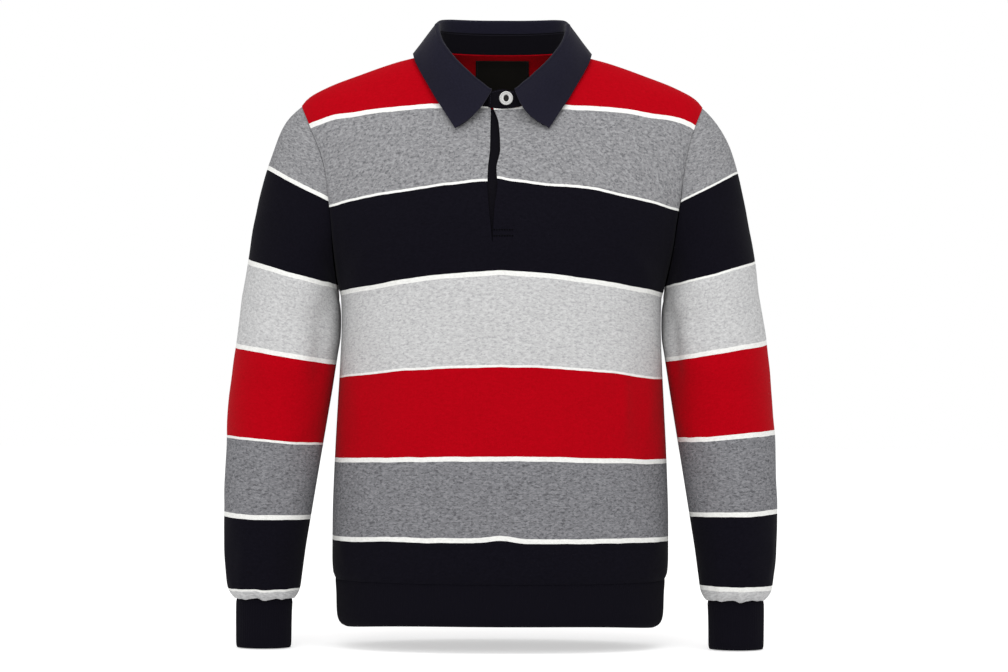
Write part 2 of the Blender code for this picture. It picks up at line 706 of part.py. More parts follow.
def leaf_edge_point(place):
    """A point of the leaf's outer edge, which lies just off the body."""
    far, hand = abs(place), math.copysign(1.0, place)
    x, z, clear = leaf_out(far), leaf_z(far), leaf_clear(far)
    if far <= SHOULDER_STATION:
        surface = body_point("back", clear_of_form(x, z), z, clear + TWILL / 2)
    else:
        surface = body_point("front", clear_of_form(x, z), z, clear + TWILL / 2)
    if x >= half_width(z):
        surface = Vector((x, 0.0, z))
    return Vector((hand * surface.x, surface.y, surface.z))


def leaf_section(place):
    """The leaf at one place: up inside from the stand, over the fold and down to its edge."""
    far = abs(place)
    seam, away = neck_seam(place), neck_outward(place)
    base = seam + Vector((0, 0, stand_height(far) + 4 * SEAM_GAP))
    crest_z = seam.z + crest_height(far)
    start = Vector((seam.x, seam.y, crest_z - LEAF_ROLL))
    line = [base, base.lerp(start, 0.5)]
    for turn in (0, 60, 120, 180):
        angle = math.radians(turn)
        line.append(start + away * LEAF_ROLL * (1 - math.cos(angle))
                    + Vector((0, 0, LEAF_ROLL * math.sin(angle))))
    foot, end = line[-1], leaf_edge_point(place)
    out = (end - foot).cross(neck_seam(place + 0.01) - neck_seam(place - 0.01)).normalized()
    if out.dot(away) < 0:
        out = -out
    inward = (end - foot).cross(out).normalized() * math.copysign(1.0, place)
    side = 0 if place < 0 else 1
    bow = LEAF_FRONT_BOWS[side] * ease((far - LEAF_BOW_FROM) / (LEAF_ENDS[side] - LEAF_BOW_FROM))
    for share in (0.2, 0.4, 0.6, 0.8, 1.0):
        swell = leaf_swell(far) * math.sin(math.pi * share) * (1 - 0.5 * share)
        line.append(foot.lerp(end, share) + out * swell + inward * bow * math.sin(math.pi * share))
    return line


def build_leaf(collection):
    """Collar leaf, one fold of woven cloth with pointed front corners."""
    places = collar_places(*([end] for end in LEAF_ENDS))
    grid = [list(line) for line in zip(*[leaf_section(p) for p in places])]
    normals = grid_normals(grid, wrap=False)
    if normals[0][len(places) // 2].y > 0:
        normals = grid_normals(grid, wrap=False, flip=-1.0)
    wall("collar_leaf", moved(grid, normals, -TWILL / 2), moved(grid, normals, TWILL / 2),
         COLLAR_NAVY, collection)


def laid_inside(name, side, spots, lines, thick, finish, collection):
    """A strip on the inside of a panel, made from the panel's own facets, moved in."""
    near = skin(side, spots, -JERSEY - SEAM_GAP)
    far = skin(side, spots, -JERSEY - SEAM_GAP - thick)
    grids = [[[on_panel(spots, points, x, z) for x, z in line] for line in lines] for points in (near, far)]
    wall(name, *grids, finish, collection)


def build_under_placket(collection):
    """Woven strip behind the slit."""
    left, right = UNDER_PLACKET_EDGES
    columns, rows = 5, 10
    lines = []
    for row in range(rows + 1):
        line = []
        for column in range(columns + 1):
            x = left + (right - left) * column / columns
            top = front_neckline(math.asin(abs(x) / NECK_HALF_WIDTH))[1] - 3 * SEAM_GAP
            line.append((x, UNDER_PLACKET_FOOT_Z + (top - UNDER_PLACKET_FOOT_Z) * row / rows))
        lines.append(line)
    laid_inside("under_placket", "front", front_spots(), lines, FACING, NAVY, collection)


def build_label(collection):
    """Plain neck label, sewn inside the back below the seam."""
    columns, rows = 6, 3
    across = [LABEL_HALF_WIDTH * (2 * c / columns - 1) for c in range(columns + 1)]
    down = [LABEL_FOOT_Z + (LABEL_TOP_Z - LABEL_FOOT_Z) * row / rows for row in range(rows + 1)]
    lines = [[(x, z) for x in across] for z in down]
    laid_inside("neck_label", "back", back_spots(), lines, LABEL_THICKNESS, BLACK, collection)


def build_button(collection):
    """Soft white ring button at the tab of the stand, with a dark middle."""
    seat = min((stand_point(1.0 - 0.002 * i, 0.5, TWILL / 2) for i in range(60)),
               key=lambda p: abs(p.x - BUTTON_X))
    back_y = seat.y - 2 * SEAM_GAP
    profile = (
        (BUTTON_RADIUS - 0.0006, 0.0000),
        (BUTTON_RADIUS, 0.0008),
        (BUTTON_RADIUS, 0.0018),
        (BUTTON_RADIUS - 0.0010, BUTTON_THICKNESS),
        (BUTTON_RADIUS - 0.0026, BUTTON_THICKNESS),
        (BUTTON_HOLE_RADIUS + 0.0010, BUTTON_THICKNESS - 0.0006),
        (BUTTON_HOLE_RADIUS, BUTTON_THICKNESS - 0.0014),
        (BUTTON_HOLE_RADIUS, 0.0000),
    )
    turned("collar_button", profile, back_y, WHITE, collection)
    middle = (
        (0.0, 0.0),
        (BUTTON_HOLE_RADIUS - SEAM_GAP, 0.0),
        (BUTTON_HOLE_RADIUS - SEAM_GAP, 0.0009),
        (BUTTON_HOLE_RADIUS - 0.0010, 0.0013),
        (0.0, 0.0014),
    )
    turned("button_middle", middle, back_y, BLACK, collection)


def turned(name, profile, back_y, finish, collection):
    """A turned piece: its profile gives radius and height off the stand, facing forward."""
    steps = 20
    shape = bmesh.new()
    closed = profile[0][0] > 0
    rings = []
    for step in range(steps):
        angle = 2 * math.pi * step / steps
        rings.append([shape.verts.new((BUTTON_X + r * math.cos(angle), back_y - h,
                                       BUTTON_Z + r * math.sin(angle))) for r, h in profile])
    last = len(profile) if closed else len(profile) - 1
    for step in range(steps):
        here, there = rings[step], rings[(step + 1) % steps]
        for i in range(last):
            j = (i + 1) % len(profile)
            shape.faces.new((here[i], here[j], there[j], there[i]))
    bmesh.ops.remove_doubles(shape, verts=shape.verts, dist=1e-6)
    bmesh.ops.recalc_face_normals(shape, faces=shape.faces)
    mesh = bpy.data.meshes.new(name)
    shape.to_mesh(mesh)
    shape.free()
    link(name, mesh, finish, collection)


def main():
    for piece in list(bpy.data.objects):
        bpy.data.objects.remove(piece)
    collection = bpy.data.collections.new("sweater")
    bpy.context.scene.collection.children.link(collection)
    build_front(collection)
    build_back(collection)
    build_band(collection)
    for name, hand in (("left", 1), ("right", -1)):
        build_sleeve(f"sleeve_{name}", hand, collection)
        build_cuff(f"cuff_{name}", hand, collection)
    build_stand(collection)
    build_leaf(collection)
    build_under_placket(collection)
    build_label(collection)
    build_button(collection)


main()
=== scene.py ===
import math

import bpy
import numpy as np
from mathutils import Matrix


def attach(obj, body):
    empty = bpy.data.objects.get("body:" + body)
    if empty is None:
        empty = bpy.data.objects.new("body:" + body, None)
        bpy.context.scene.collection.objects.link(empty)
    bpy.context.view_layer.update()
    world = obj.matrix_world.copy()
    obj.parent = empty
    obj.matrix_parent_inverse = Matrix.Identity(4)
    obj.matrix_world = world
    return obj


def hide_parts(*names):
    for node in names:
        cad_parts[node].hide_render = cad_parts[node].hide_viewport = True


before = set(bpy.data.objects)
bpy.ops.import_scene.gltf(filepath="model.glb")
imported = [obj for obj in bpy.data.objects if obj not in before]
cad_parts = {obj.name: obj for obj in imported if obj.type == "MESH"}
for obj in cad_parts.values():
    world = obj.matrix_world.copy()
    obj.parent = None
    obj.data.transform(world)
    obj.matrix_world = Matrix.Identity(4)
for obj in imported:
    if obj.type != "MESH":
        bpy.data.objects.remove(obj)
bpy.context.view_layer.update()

# The studio
# A plain white floor just under the cuffs, an even white surround and two large soft lights.
# The camera stands four metres in front, level with the middle of the garment.
VIEW_DISTANCE = 4.0
VIEW_MIDDLE_X = 0.0034
VIEW_MIDDLE_Z = -0.3312
FRAME_PIXELS = 1008
METRES_PER_PIXEL = 0.0012
FRAME_ROLL = math.radians(-0.24)
SENSOR_MM = 36.0
FLOOR_Z = -0.7032
FLOOR_SIZE = 14.0
WHITE = (1.0, 1.0, 1.0, 1.0)
FLOOR_PAINT = (0.60, 0.60, 0.60, 1.0)
FLOOR_GLOW = 0.52
# Soft lights: name, place, size, power
SOFT_LIGHTS = (
    ("front_light", (-0.6, -3.4, 1.1), 1.8, 40.0),
    ("top_light", (0.2, -1.1, 2.3), 2.0, 38.0),
)


def soft_light(name, place, size, power):
    """A large square light aimed at the middle of the garment."""
    data = bpy.data.lights.new(name, "AREA")
    data.size = size
    data.energy = power
    lamp = bpy.data.objects.new(name, data)
    bpy.context.scene.collection.objects.link(lamp)
    lamp.location = place
    aim = np.array((0.0, 0.0, VIEW_MIDDLE_Z)) - np.array(place)
    lamp.rotation_euler = (
        math.atan2(math.hypot(aim[0], aim[1]), -aim[2]),
        0.0,
        math.atan2(aim[1], aim[0]) - math.pi / 2,
    )


camera_data = bpy.data.cameras.new("photo_view")
camera_data.sensor_width = SENSOR_MM
camera_data.lens = SENSOR_MM * VIEW_DISTANCE / (FRAME_PIXELS * METRES_PER_PIXEL)
camera = bpy.data.objects.new("photo_view", camera_data)
bpy.context.scene.collection.objects.link(camera)
camera.location = (VIEW_MIDDLE_X, -VIEW_DISTANCE, VIEW_MIDDLE_Z)
camera.rotation_euler = (math.radians(90), FRAME_ROLL, 0.0)
bpy.context.scene.camera = camera

world = bpy.data.worlds.new("white_surround")
world.use_nodes = True
world.node_tree.nodes["Background"].inputs["Color"].default_value = WHITE
world.node_tree.nodes["Background"].inputs["Strength"].default_value = 1.0
bpy.context.scene.world = world
bpy.context.scene.view_settings.view_transform = "Standard"

for light in SOFT_LIGHTS:
    soft_light(*light)

bpy.ops.mesh.primitive_plane_add(size=FLOOR_SIZE, location=(0.0, 0.0, FLOOR_Z))
floor = bpy.context.object
floor.name = "studio_floor"
floor_paint = bpy.data.materials.new("floor_paint")
floor_paint.use_nodes = True
floor_shader = floor_paint.node_tree.nodes["Principled BSDF"]
floor_shader.inputs["Base Color"].default_value = FLOOR_PAINT
floor_shader.inputs["Roughness"].default_value = 0.9
floor_shader.inputs["Specular IOR Level"].default_value = 0.0
floor_shader.inputs["Emission Color"].default_value = WHITE
floor_shader.inputs["Emission Strength"].default_value = FLOOR_GLOW
floor.data.materials.append(floor_paint)

# Front panel
# One piece of brushed cotton jersey, knitted in broad stripes with narrow white lines, cut to
# a scooped neck and slit a third of the way down for the half placket. It is sewn to the back
# at the shoulders and sides, and the slit's left edge laps over the right one.
JERSEY = 0.0016
SEAM_GAP = 0.0003
SQUARENESS = 2.3
NECK_HALF_WIDTH = 0.076
SHOULDER_NECK_Z = 0.011
FRONT_NECK_Z = -0.0623
BACK_NECK_Z = 0.0095
SHOULDER_TIP_Z = -0.056
ARMPIT_Z = -0.287
BODY_HEM_Z = -0.6215
ARMHOLE_LEAN = 0.0035

# Levels of the body, its outer surface: height, half width, reach forward, reach back
BODY_LEVELS = (
    (0.0300, 0.0300, 0.0040, 0.0250),
    (0.0110, 0.0760, 0.0100, 0.0420),
    (-0.0036, 0.1302, 0.0220, 0.0560),
    (-0.0180, 0.1710, 0.0310, 0.0640),
    (-0.0324, 0.2080, 0.0380, 0.0715),
    (-0.0468, 0.2334, 0.0455, 0.0790),
    (-0.0560, 0.2406, 0.0505, 0.0835),
    (-0.0660, 0.2436, 0.0575, 0.0890),
    (-0.0800, 0.2446, 0.0670, 0.0970),
    (-0.1100, 0.2410, 0.0860, 0.1110),
    (-0.1500, 0.2345, 0.1070, 0.1220),
    (-0.2000, 0.2215, 0.1250, 0.1265),
    (-0.2400, 0.2069, 0.1310, 0.1255),
    (-0.2700, 0.1973, 0.1310, 0.1238),
    (-0.2870, 0.1928, 0.1302, 0.1228),
    (-0.3200, 0.1922, 0.1282, 0.1205),
    (-0.3636, 0.1938, 0.1255, 0.1178),
    (-0.4200, 0.1968, 0.1225, 0.1150),
    (-0.4900, 0.2003, 0.1202, 0.1130),
    (-0.5500, 0.2021, 0.1200, 0.1125),
    (-0.5950, 0.2023, 0.1200, 0.1125),
    (-0.6120, 0.2014, 0.1185, 0.1115),
    (-0.6215, 0.1985, 0.1155, 0.1085),
)

# Armhole seam seen from the front: height, distance from the middle
ARMHOLE_LINE = (
    (-0.0560, 0.2406),
    (-0.0660, 0.2360),
    (-0.0800, 0.2300),
    (-0.1100, 0.2190),
    (-0.1400, 0.2117),
    (-0.1720, 0.2079),
    (-0.2050, 0.2036),
    (-0.2300, 0.2010),
    (-0.2600, 0.1968),
    (-0.2780, 0.1939),
    (-0.2848, 0.19286),
    (-0.2870, 0.1928),
)

# Edges of the placket slit: height, right edge, left edge
SLIT_LINE = (
    (-0.0620, -0.0133, -0.0105),
    (-0.0800, -0.0136, -0.0040),
    (-0.1120, -0.0140, -0.0019),
    (-0.1350, -0.0163, -0.0062),
    (-0.1540, -0.0168, -0.0050),
    (-0.1820, -0.0150, -0.0082),
    (-0.2000, -0.0130, -0.0093),
    (-0.2200, -0.0112, -0.0103),
)
SLIT_FOOT_Z = -0.2200
FLAP_LIFT = 0.0022
FLAP_REACH = 0.024
FLAP_FADE = 0.03

# Creases of the front: start x, start z, end x, end z, bow, half width, height over the cloth
FRONT_CREASES = (
    (0.168, -0.300, 0.168, -0.560, 0.000, 0.024, -0.0035),
    (-0.162, -0.310, -0.162, -0.545, 0.000, 0.024, -0.0032),
    (0.118, -0.420, 0.118, -0.640, 0.000, 0.024, -0.0015),
    (-0.105, -0.430, -0.105, -0.640, 0.000, 0.024, -0.0014),
    (0.186, -0.285, 0.128, -0.215, 0.006, 0.011, 0.0022),
    (0.180, -0.305, 0.105, -0.262, 0.008, 0.012, -0.0018),
    (-0.186, -0.288, -0.135, -0.205, -0.005, 0.011, 0.0020),
    (-0.180, -0.310, -0.100, -0.270, -0.008, 0.013, -0.0018),
    (0.183, -0.372, 0.176, -0.476, 0.003, 0.008, 0.0020),
    (0.149, -0.335, 0.147, -0.480, 0.002, 0.007, 0.0020),
    (-0.176, -0.372, -0.168, -0.480, -0.003, 0.009, 0.0018),
    (0.190, -0.520, 0.172, -0.622, -0.004, 0.008, 0.0014),
    (-0.191, -0.545, -0.176, -0.618, 0.003, 0.007, 0.0018),
    (0.060, -0.560, 0.052, -0.640, 0.002, 0.010, 0.0009),
    (-0.034, -0.550, -0.026, -0.640, -0.002, 0.012, 0.0010),
    (0.150, -0.585, 0.139, -0.650, 0.001, 0.007, 0.0012),
    (-0.142, -0.580, -0.133, -0.650, 0.001, 0.008, 0.0011),
    (0.036, -0.205, 0.062, -0.330, 0.006, 0.018, -0.0011),
    (-0.060, -0.215, -0.078, -0.350, -0.006, 0.020, -0.0011),
    (0.080, -0.095, 0.150, -0.100, -0.006, 0.011, 0.0007),
    (-0.150, -0.096, -0.085, -0.100, 0.006, 0.011, 0.0007),
)

# Slow unevenness of hanging jersey: waves a metre across and up, phase, height
DRIFT = (
    (6.0, 9.0, 0.4, 0.00050),
    (11.0, -5.0, 1.9, 0.00040),
    (-9.0, 14.0, 3.1, 0.00030),
    (21.0, 8.0, 5.2, 0.00018),
    (-17.0, 26.0, 2.2, 0.00012),
)

# Seams: how far the body swells beside the armhole, and how far every seam is drawn in
ARMHOLE_SWELL = 0.0011
ARMHOLE_SWELL_REACH = 0.0065
SEAM_SINK = 0.0011
SEAM_SINK_REACH = 0.0022
HEM_SINK = 0.6 * SEAM_SINK
SWELL_PAST_ARMPIT = 0.004
SWELL_PAST_SHOULDER = 0.012
SWELL_FADE = 0.02
SHOULDER_SLANT = 0.3  # depth under the shoulder seam for each metre in from its edge

# Calm edges, where a seam holds the cloth level: the stretch over which folds die out
HEM_CALM = 0.035
NECK_CALM = 0.030
NECK_CALM_TOP_Z = 0.012
NECK_RIM = 0.25  # round the front neckline, as a share of its size
SIDE_CALM_POWER = 24

# Puckers over the hem: height, reach up, puckers a metre, and the slow waves that vary them
HEM_PUCKER = 0.00045
HEM_PUCKER_REACH = 0.016
HEM_PUCKERS = 34
HEM_SPACING_WAVES = 7
HEM_SPACING_SWING = 2.1
HEM_HEIGHT_WAVES = 11
HEM_HEIGHT_LEAST = 0.6

# Stripes: heights of the white lines at the middle of the front, and the bands from the hem up
WHITE_LINE = 0.0046
BODY_LINES = (-0.5711, -0.4766, -0.3670, -0.2600, -0.1480, -0.0603)
RED = (0.318, 0.0006, 0.0048)
RED_FLECK = (0.272, 0.0005, 0.0036)
PALE_GREY = (0.462, 0.462, 0.462)
PALE_GREY_FLECK = (0.290, 0.290, 0.294)
MID_GREY = (0.248, 0.248, 0.255)
MID_GREY_FLECK = (0.096, 0.096, 0.102)
DEEP_GREY = (0.196, 0.196, 0.207)
DEEP_GREY_FLECK = (0.070, 0.070, 0.076)
NAVY = (0.0044, 0.0040, 0.0068)
NAVY_FLECK = (0.0032, 0.0029, 0.0050)
WHITE_YARN = (0.66, 0.66, 0.64)
WHITE_YARN_FLECK = (0.56, 0.56, 0.54)
BODY_BANDS = (
    (NAVY, NAVY_FLECK),
    (DEEP_GREY, DEEP_GREY_FLECK),
    (RED, RED_FLECK),
    (PALE_GREY, PALE_GREY_FLECK),
    (NAVY, NAVY_FLECK),
    (MID_GREY, MID_GREY_FLECK),
    (RED, RED_FLECK),
)
# How far the lines sag from the middle to the side seam: height, sag, power of the distance out
BODY_SAG = (
    (-0.5710, 0.0018, 2.0),
    (-0.4790, 0.0052, 2.0),
    (-0.3730, 0.0152, 2.1),
    (-0.2700, 0.0255, 1.6),
    (-0.1680, 0.0375, 1.45),
    (-0.0700, 0.0285, 3.0),
)
# Where a line strays from that: middle x, z, half width across, height, how far down it goes
BODY_STRAYS = (
    (-0.020, -0.062, 0.012, 0.020, 0.0012),
    (0.090, -0.064, 0.050, 0.020, 0.0008),
    (-0.075, -0.150, 0.045, 0.022, 0.0024),
    (0.040, -0.150, 0.045, 0.022, 0.0034),
    (0.207, -0.072, 0.020, 0.030, -0.0036),
    (-0.207, -0.072, 0.020, 0.030, -0.0014),
    (0.198, -0.178, 0.020, 0.020, 0.0018),
    (0.172, -0.378, 0.020, 0.020, 0.0014),
    (0.002, -0.568, 0.020, 0.020, -0.0029),
    (0.052, -0.571, 0.028, 0.020, 0.0006),
    (-0.132, -0.572, 0.030, 0.020, -0.0008),
)

# Where the flap's stripes miss the other edge's: height, half height, how far down, reach across
FLAP_STRAYS = (
    (-0.062, 0.030, 0.0026, 0.060),
    (-0.148, 0.020, -0.0030, 0.018),
)

FINE = 6  # fine rows and columns for each coarse one
ROWS_BELOW_ARMPIT = 7
ROWS_ABOVE_ARMPIT = 16
SHOULDER_COLUMNS = 6
FRONT_NECK_COLUMNS = 7
NECK_CROWDING = 1.35
TOP_CROWDING = 1.4
LOW_CROWDING = 1.25
SLIT_CELLS = 8  # columns from the last even one to the slit
FLAP_CELLS = 4  # columns from the slit to the middle
SLOPE_STEP = 0.0004


def smooth(table, column):
    """A curve through one column of a table, by the table's first column, with no overshoot."""
    rows = np.array(sorted(table), float)
    x, y = rows[:, 0], rows[:, column]
    step = np.diff(x)
    rise = np.diff(y) / step
    slope = np.zeros(len(x))
    for i in range(1, len(x) - 1):
        if rise[i - 1] * rise[i] > 0:
            w1, w2 = 2 * step[i] + step[i - 1], step[i] + 2 * step[i - 1]
            slope[i] = (w1 + w2) / (w1 / rise[i - 1] + w2 / rise[i])
    slope[0], slope[-1] = rise[0], rise[-1]

    def value(at):
        i = np.clip(np.searchsorted(x, at) - 1, 0, len(step) - 1)
        t = np.clip((at - x[i]) / step[i], 0.0, 1.0)
        return (
            (1 + 2 * t) * (1 - t) ** 2 * y[i]
            + t * (1 - t) ** 2 * step[i] * slope[i]
            + t * t * (3 - 2 * t) * y[i + 1]
            + t * t * (t - 1) * step[i] * slope[i + 1]
        )

    return value


def ease(t):
    """0 to 1 with level ends."""
    t = np.clip(t, 0.0, 1.0)
    return t * t * (3 - 2 * t)


def unit(vectors):
    """The same directions with length 1."""
    return vectors / np.maximum(np.linalg.norm(vectors, axis=-1, keepdims=True), 1e-12)


half_width = smooth(BODY_LEVELS, 1)
reach = {"front": smooth(BODY_LEVELS, 2), "back": smooth(BODY_LEVELS, 3)}
facing = {"front": -1.0, "back": 1.0}
armhole_line = smooth(ARMHOLE_LINE, 1)
slit_right = smooth(SLIT_LINE, 1)
slit_left = smooth(SLIT_LINE, 2)
body_sag = smooth(BODY_SAG, 1)
body_sag_power = smooth(BODY_SAG, 2)


def depth_at(side, x, z):
    """How far the form reaches forward or back at a point of the front view."""
    share = 1.0 - np.minimum(np.abs(x) / half_width(z), 1.0) ** SQUARENESS
    return reach[side](z) * share ** (1 / SQUARENESS)


def normal_at(side, x, depth, z):
    """The outward direction there, from the slope of the form's equation."""
    def form(height):
        across = (np.abs(x) / half_width(height)) ** SQUARENESS
        return across + (depth / reach[side](height)) ** SQUARENESS

    power = SQUARENESS - 1
    along_x = np.copysign((np.abs(x) / half_width(z)) ** power / half_width(z), x)
    along_y = facing[side] * (depth / reach[side](z)) ** power / reach[side](z)
    along_z = (form(z + SLOPE_STEP) - form(z - SLOPE_STEP)) / (2 * SLOPE_STEP * SQUARENESS)
    return unit(np.stack([along_x, along_y, along_z], axis=-1))


def body_point(side, x, z, off=0.0):
    """A point of the body's plain form, moved off it by a distance."""
    depth = depth_at(side, x, z)
    place = np.stack([x, facing[side] * (depth + SEAM_GAP / 2), z], axis=-1)
    return place + normal_at(side, x, depth, z) * np.asarray(off)[..., None]


def crease_lift(creases, x, z):
    """Height of the soft ridges and troughs at a place of a panel."""
    lift = 0.0 * (x + z)
    for x0, z0, x1, z1, bow, wide, high in creases:
        run = math.hypot(x1 - x0, z1 - z0)
        dx, dz = (x1 - x0) / run, (z1 - z0) / run
        along = np.clip(((x - x0) * dx + (z - z0) * dz) / run, 0.0, 1.0)
        across = (x - x0) * dz - (z - z0) * dx - bow * np.sin(math.pi * along)
        lift += high * np.sin(math.pi * along) ** 2 * np.exp(-(across / wide) ** 2)
    return lift


def drift(x, z):
    """Slow unevenness of the cloth at a place of a panel."""
    return sum(
        high * np.sin(2 * math.pi * (kx * x + kz * z) + phase) for kx, kz, phase, high in DRIFT
    )


def shoulder_z(x):
    """Height of the shoulder seam at a distance out."""
    low = np.full(np.shape(x), SHOULDER_TIP_Z)
    high = np.full(np.shape(x), SHOULDER_NECK_Z)
    for _ in range(40):
        middle = (low + high) / 2
        wider = half_width(middle) > x
        low = np.where(wider, middle, low)
        high = np.where(wider, high, middle)
    return (low + high) / 2


def armhole_x(z, hand):
    """Distance of the armhole seam from the middle; hand is 1 on the wearer's left, -1 on the right."""
    lean = np.sin(math.pi * (SHOULDER_TIP_Z - z) / (SHOULDER_TIP_Z - ARMPIT_Z))
    return armhole_line(z) + hand * ARMHOLE_LEAN * lean * lean


def neck_turn(share):
    """Angle of a front neckline point, share running from 0 at the middle to 1 at the shoulder."""
    return math.pi / 2 * (1 - np.maximum(1 - share, 0.0) ** NECK_CROWDING)


def front_neckline(turn):
    """The front neckline in the front view: turn runs from 0 at the middle to 90 degrees."""
    drop = SHOULDER_NECK_Z - FRONT_NECK_Z
    return NECK_HALF_WIDTH * np.sin(turn), SHOULDER_NECK_Z - drop * np.cos(turn)


def back_neckline(turn):
    """The back neckline in the front view, counted in the same way."""
    x = NECK_HALF_WIDTH * np.sin(turn) ** (2 / SQUARENESS)
    share = (x / NECK_HALF_WIDTH) ** 2
    return x, BACK_NECK_Z + (SHOULDER_NECK_Z - BACK_NECK_Z) * share


def top_edge(side, neck_columns, place):
    """Neckline, then shoulder seam; place counts columns out from the middle."""
    share = np.minimum(place / neck_columns, 1.0)
    if side == "front":
        neck_x, neck_z = front_neckline(neck_turn(share))
    else:
        neck_x, neck_z = back_neckline(math.pi / 2 * share)
    out = np.maximum(place - neck_columns, 0.0) / SHOULDER_COLUMNS
    x = NECK_HALF_WIDTH + (half_width(SHOULDER_TIP_Z) - NECK_HALF_WIDTH) * out
    on_neck = place <= neck_columns
    return np.where(on_neck, neck_x, x), np.where(on_neck, neck_z, shoulder_z(x))


def panel_spot(side, neck_columns, hand, place, row):
    """Front-view place of a grid point: rows count up from the hem, columns out from the middle."""
    place, row = np.broadcast_arrays(np.asarray(place, float), np.asarray(row, float))
    turn = math.pi / 2 * place / (neck_columns + SHOULDER_COLUMNS)
    low_ratio = np.sin(turn) ** (2 / SQUARENESS)
    low_share = np.minimum(row / ROWS_BELOW_ARMPIT, 1.0)
    low_z = BODY_HEM_Z + (ARMPIT_Z - BODY_HEM_Z) * low_share ** LOW_CROWDING
    climb = np.maximum(row - ROWS_BELOW_ARMPIT, 0.0) / ROWS_ABOVE_ARMPIT
    even = (1 - np.cos(math.pi * climb)) / 2
    crowded = 1 - np.maximum(1 - climb, 0.0) ** TOP_CROWDING
    towards_armhole = np.maximum(place - neck_columns, 0.0) / SHOULDER_COLUMNS
    share = crowded + (even - crowded) * towards_armhole
    edge_z = ARMPIT_Z + (SHOULDER_TIP_Z - ARMPIT_Z) * share
    top_x, top_z = top_edge(side, neck_columns, place)
    high_z = ARMPIT_Z + (top_z - ARMPIT_Z) * share
    ratio = low_ratio + (top_x / half_width(SHOULDER_TIP_Z) - low_ratio) * share
    above = row > ROWS_BELOW_ARMPIT
    x = np.where(above, armhole_x(edge_z, hand) * ratio, half_width(low_z) * low_ratio)
    z = np.where(above, high_z, low_z)
    return hand * np.minimum(x, half_width(z)), z


def seam_lift(x, z):
    """Relief beside the armhole, side, shoulder and hem seams of a body panel."""
    hand = np.where(x >= 0, 1.0, -1.0)
    armhole = np.where(z > ARMPIT_Z, armhole_x(np.minimum(z, SHOULDER_TIP_Z), hand), half_width(z))
    beside = np.maximum(armhole - np.abs(x), 0.0)
    on_armhole = ease((z - ARMPIT_Z + SWELL_PAST_ARMPIT) / SWELL_FADE)
    on_armhole = on_armhole * ease((SHOULDER_TIP_Z + SWELL_PAST_SHOULDER - z) / SWELL_FADE)
    swell = ARMHOLE_SWELL * np.exp(-(beside / ARMHOLE_SWELL_REACH) ** 4) * on_armhole
    inside = np.maximum(half_width(z) - np.abs(x), 0.0)
    below = np.where(z > SHOULDER_TIP_Z, inside * SHOULDER_SLANT, beside)
    sink = SEAM_SINK * np.exp(-np.minimum(beside, below) / SEAM_SINK_REACH)
    hem = np.maximum(z - BODY_HEM_Z, 0.0)
    return swell - sink - HEM_SINK * np.exp(-hem / SEAM_SINK_REACH)


def hem_puckers(x, z):
    """Small uneven puckers where the wider jersey is sewn into the band."""
    near = np.exp(-np.maximum(z - BODY_HEM_Z, 0.0) / HEM_PUCKER_REACH)
    spacing = HEM_SPACING_SWING * np.sin(2 * math.pi * HEM_SPACING_WAVES * x)
    wave = np.sin(2 * math.pi * HEM_PUCKERS * x + spacing)
    vary = np.sin(2 * math.pi * HEM_HEIGHT_WAVES * x + 1.0)
    return HEM_PUCKER * near * wave * (HEM_HEIGHT_LEAST + (1 - HEM_HEIGHT_LEAST) * vary)


def course_height(x, z):
    """Height of a knitted course: level along the stripes, which sag towards the sides."""
    out = np.abs(x) / half_width(z)
    sag = body_sag(z) * out ** body_sag_power(z)
    for at_x, at_z, wide, high, down in BODY_STRAYS:
        sag = sag + down * np.exp(-((x - at_x) / wide) ** 2 - ((z - at_z) / high) ** 2)
    return z + sag


def arc_length(grid, start):
    """Distance along each row of a grid from one of its columns."""
    steps = np.linalg.norm(np.diff(grid, axis=1), axis=2)
    along = np.concatenate([np.zeros((len(grid), 1)), np.cumsum(steps, axis=1)], axis=1)
    return along - along[:, start : start + 1]


def round_length(grid):
    """Length of each ring of a grid."""
    return np.linalg.norm(np.diff(grid, axis=1, append=grid[:, :1]), axis=2).sum(axis=1)


def inside_out(points, faces):
    """True for a closed mesh whose faces look inwards."""
    p, q, r, s = (points[faces[:, i]] for i in range(4))
    return (p * np.cross(q, r)).sum() + (p * np.cross(r, s)).sum() < 0


def add_piece(name, points, faces, material, crisp=None):
    """A smooth piece of a mesh in the scene; edges sharper than crisp, in degrees, stay crisp."""
    mesh = bpy.data.meshes.new(name)
    mesh.from_pydata(points.tolist(), [], faces.tolist())
    mesh.shade_smooth()
    if crisp is not None:
        mesh.set_sharp_from_angle(angle=math.radians(crisp))
    mesh.materials.append(material)
    piece = bpy.data.objects.new(name, mesh)
    bpy.context.scene.collection.objects.link(piece)
    return piece


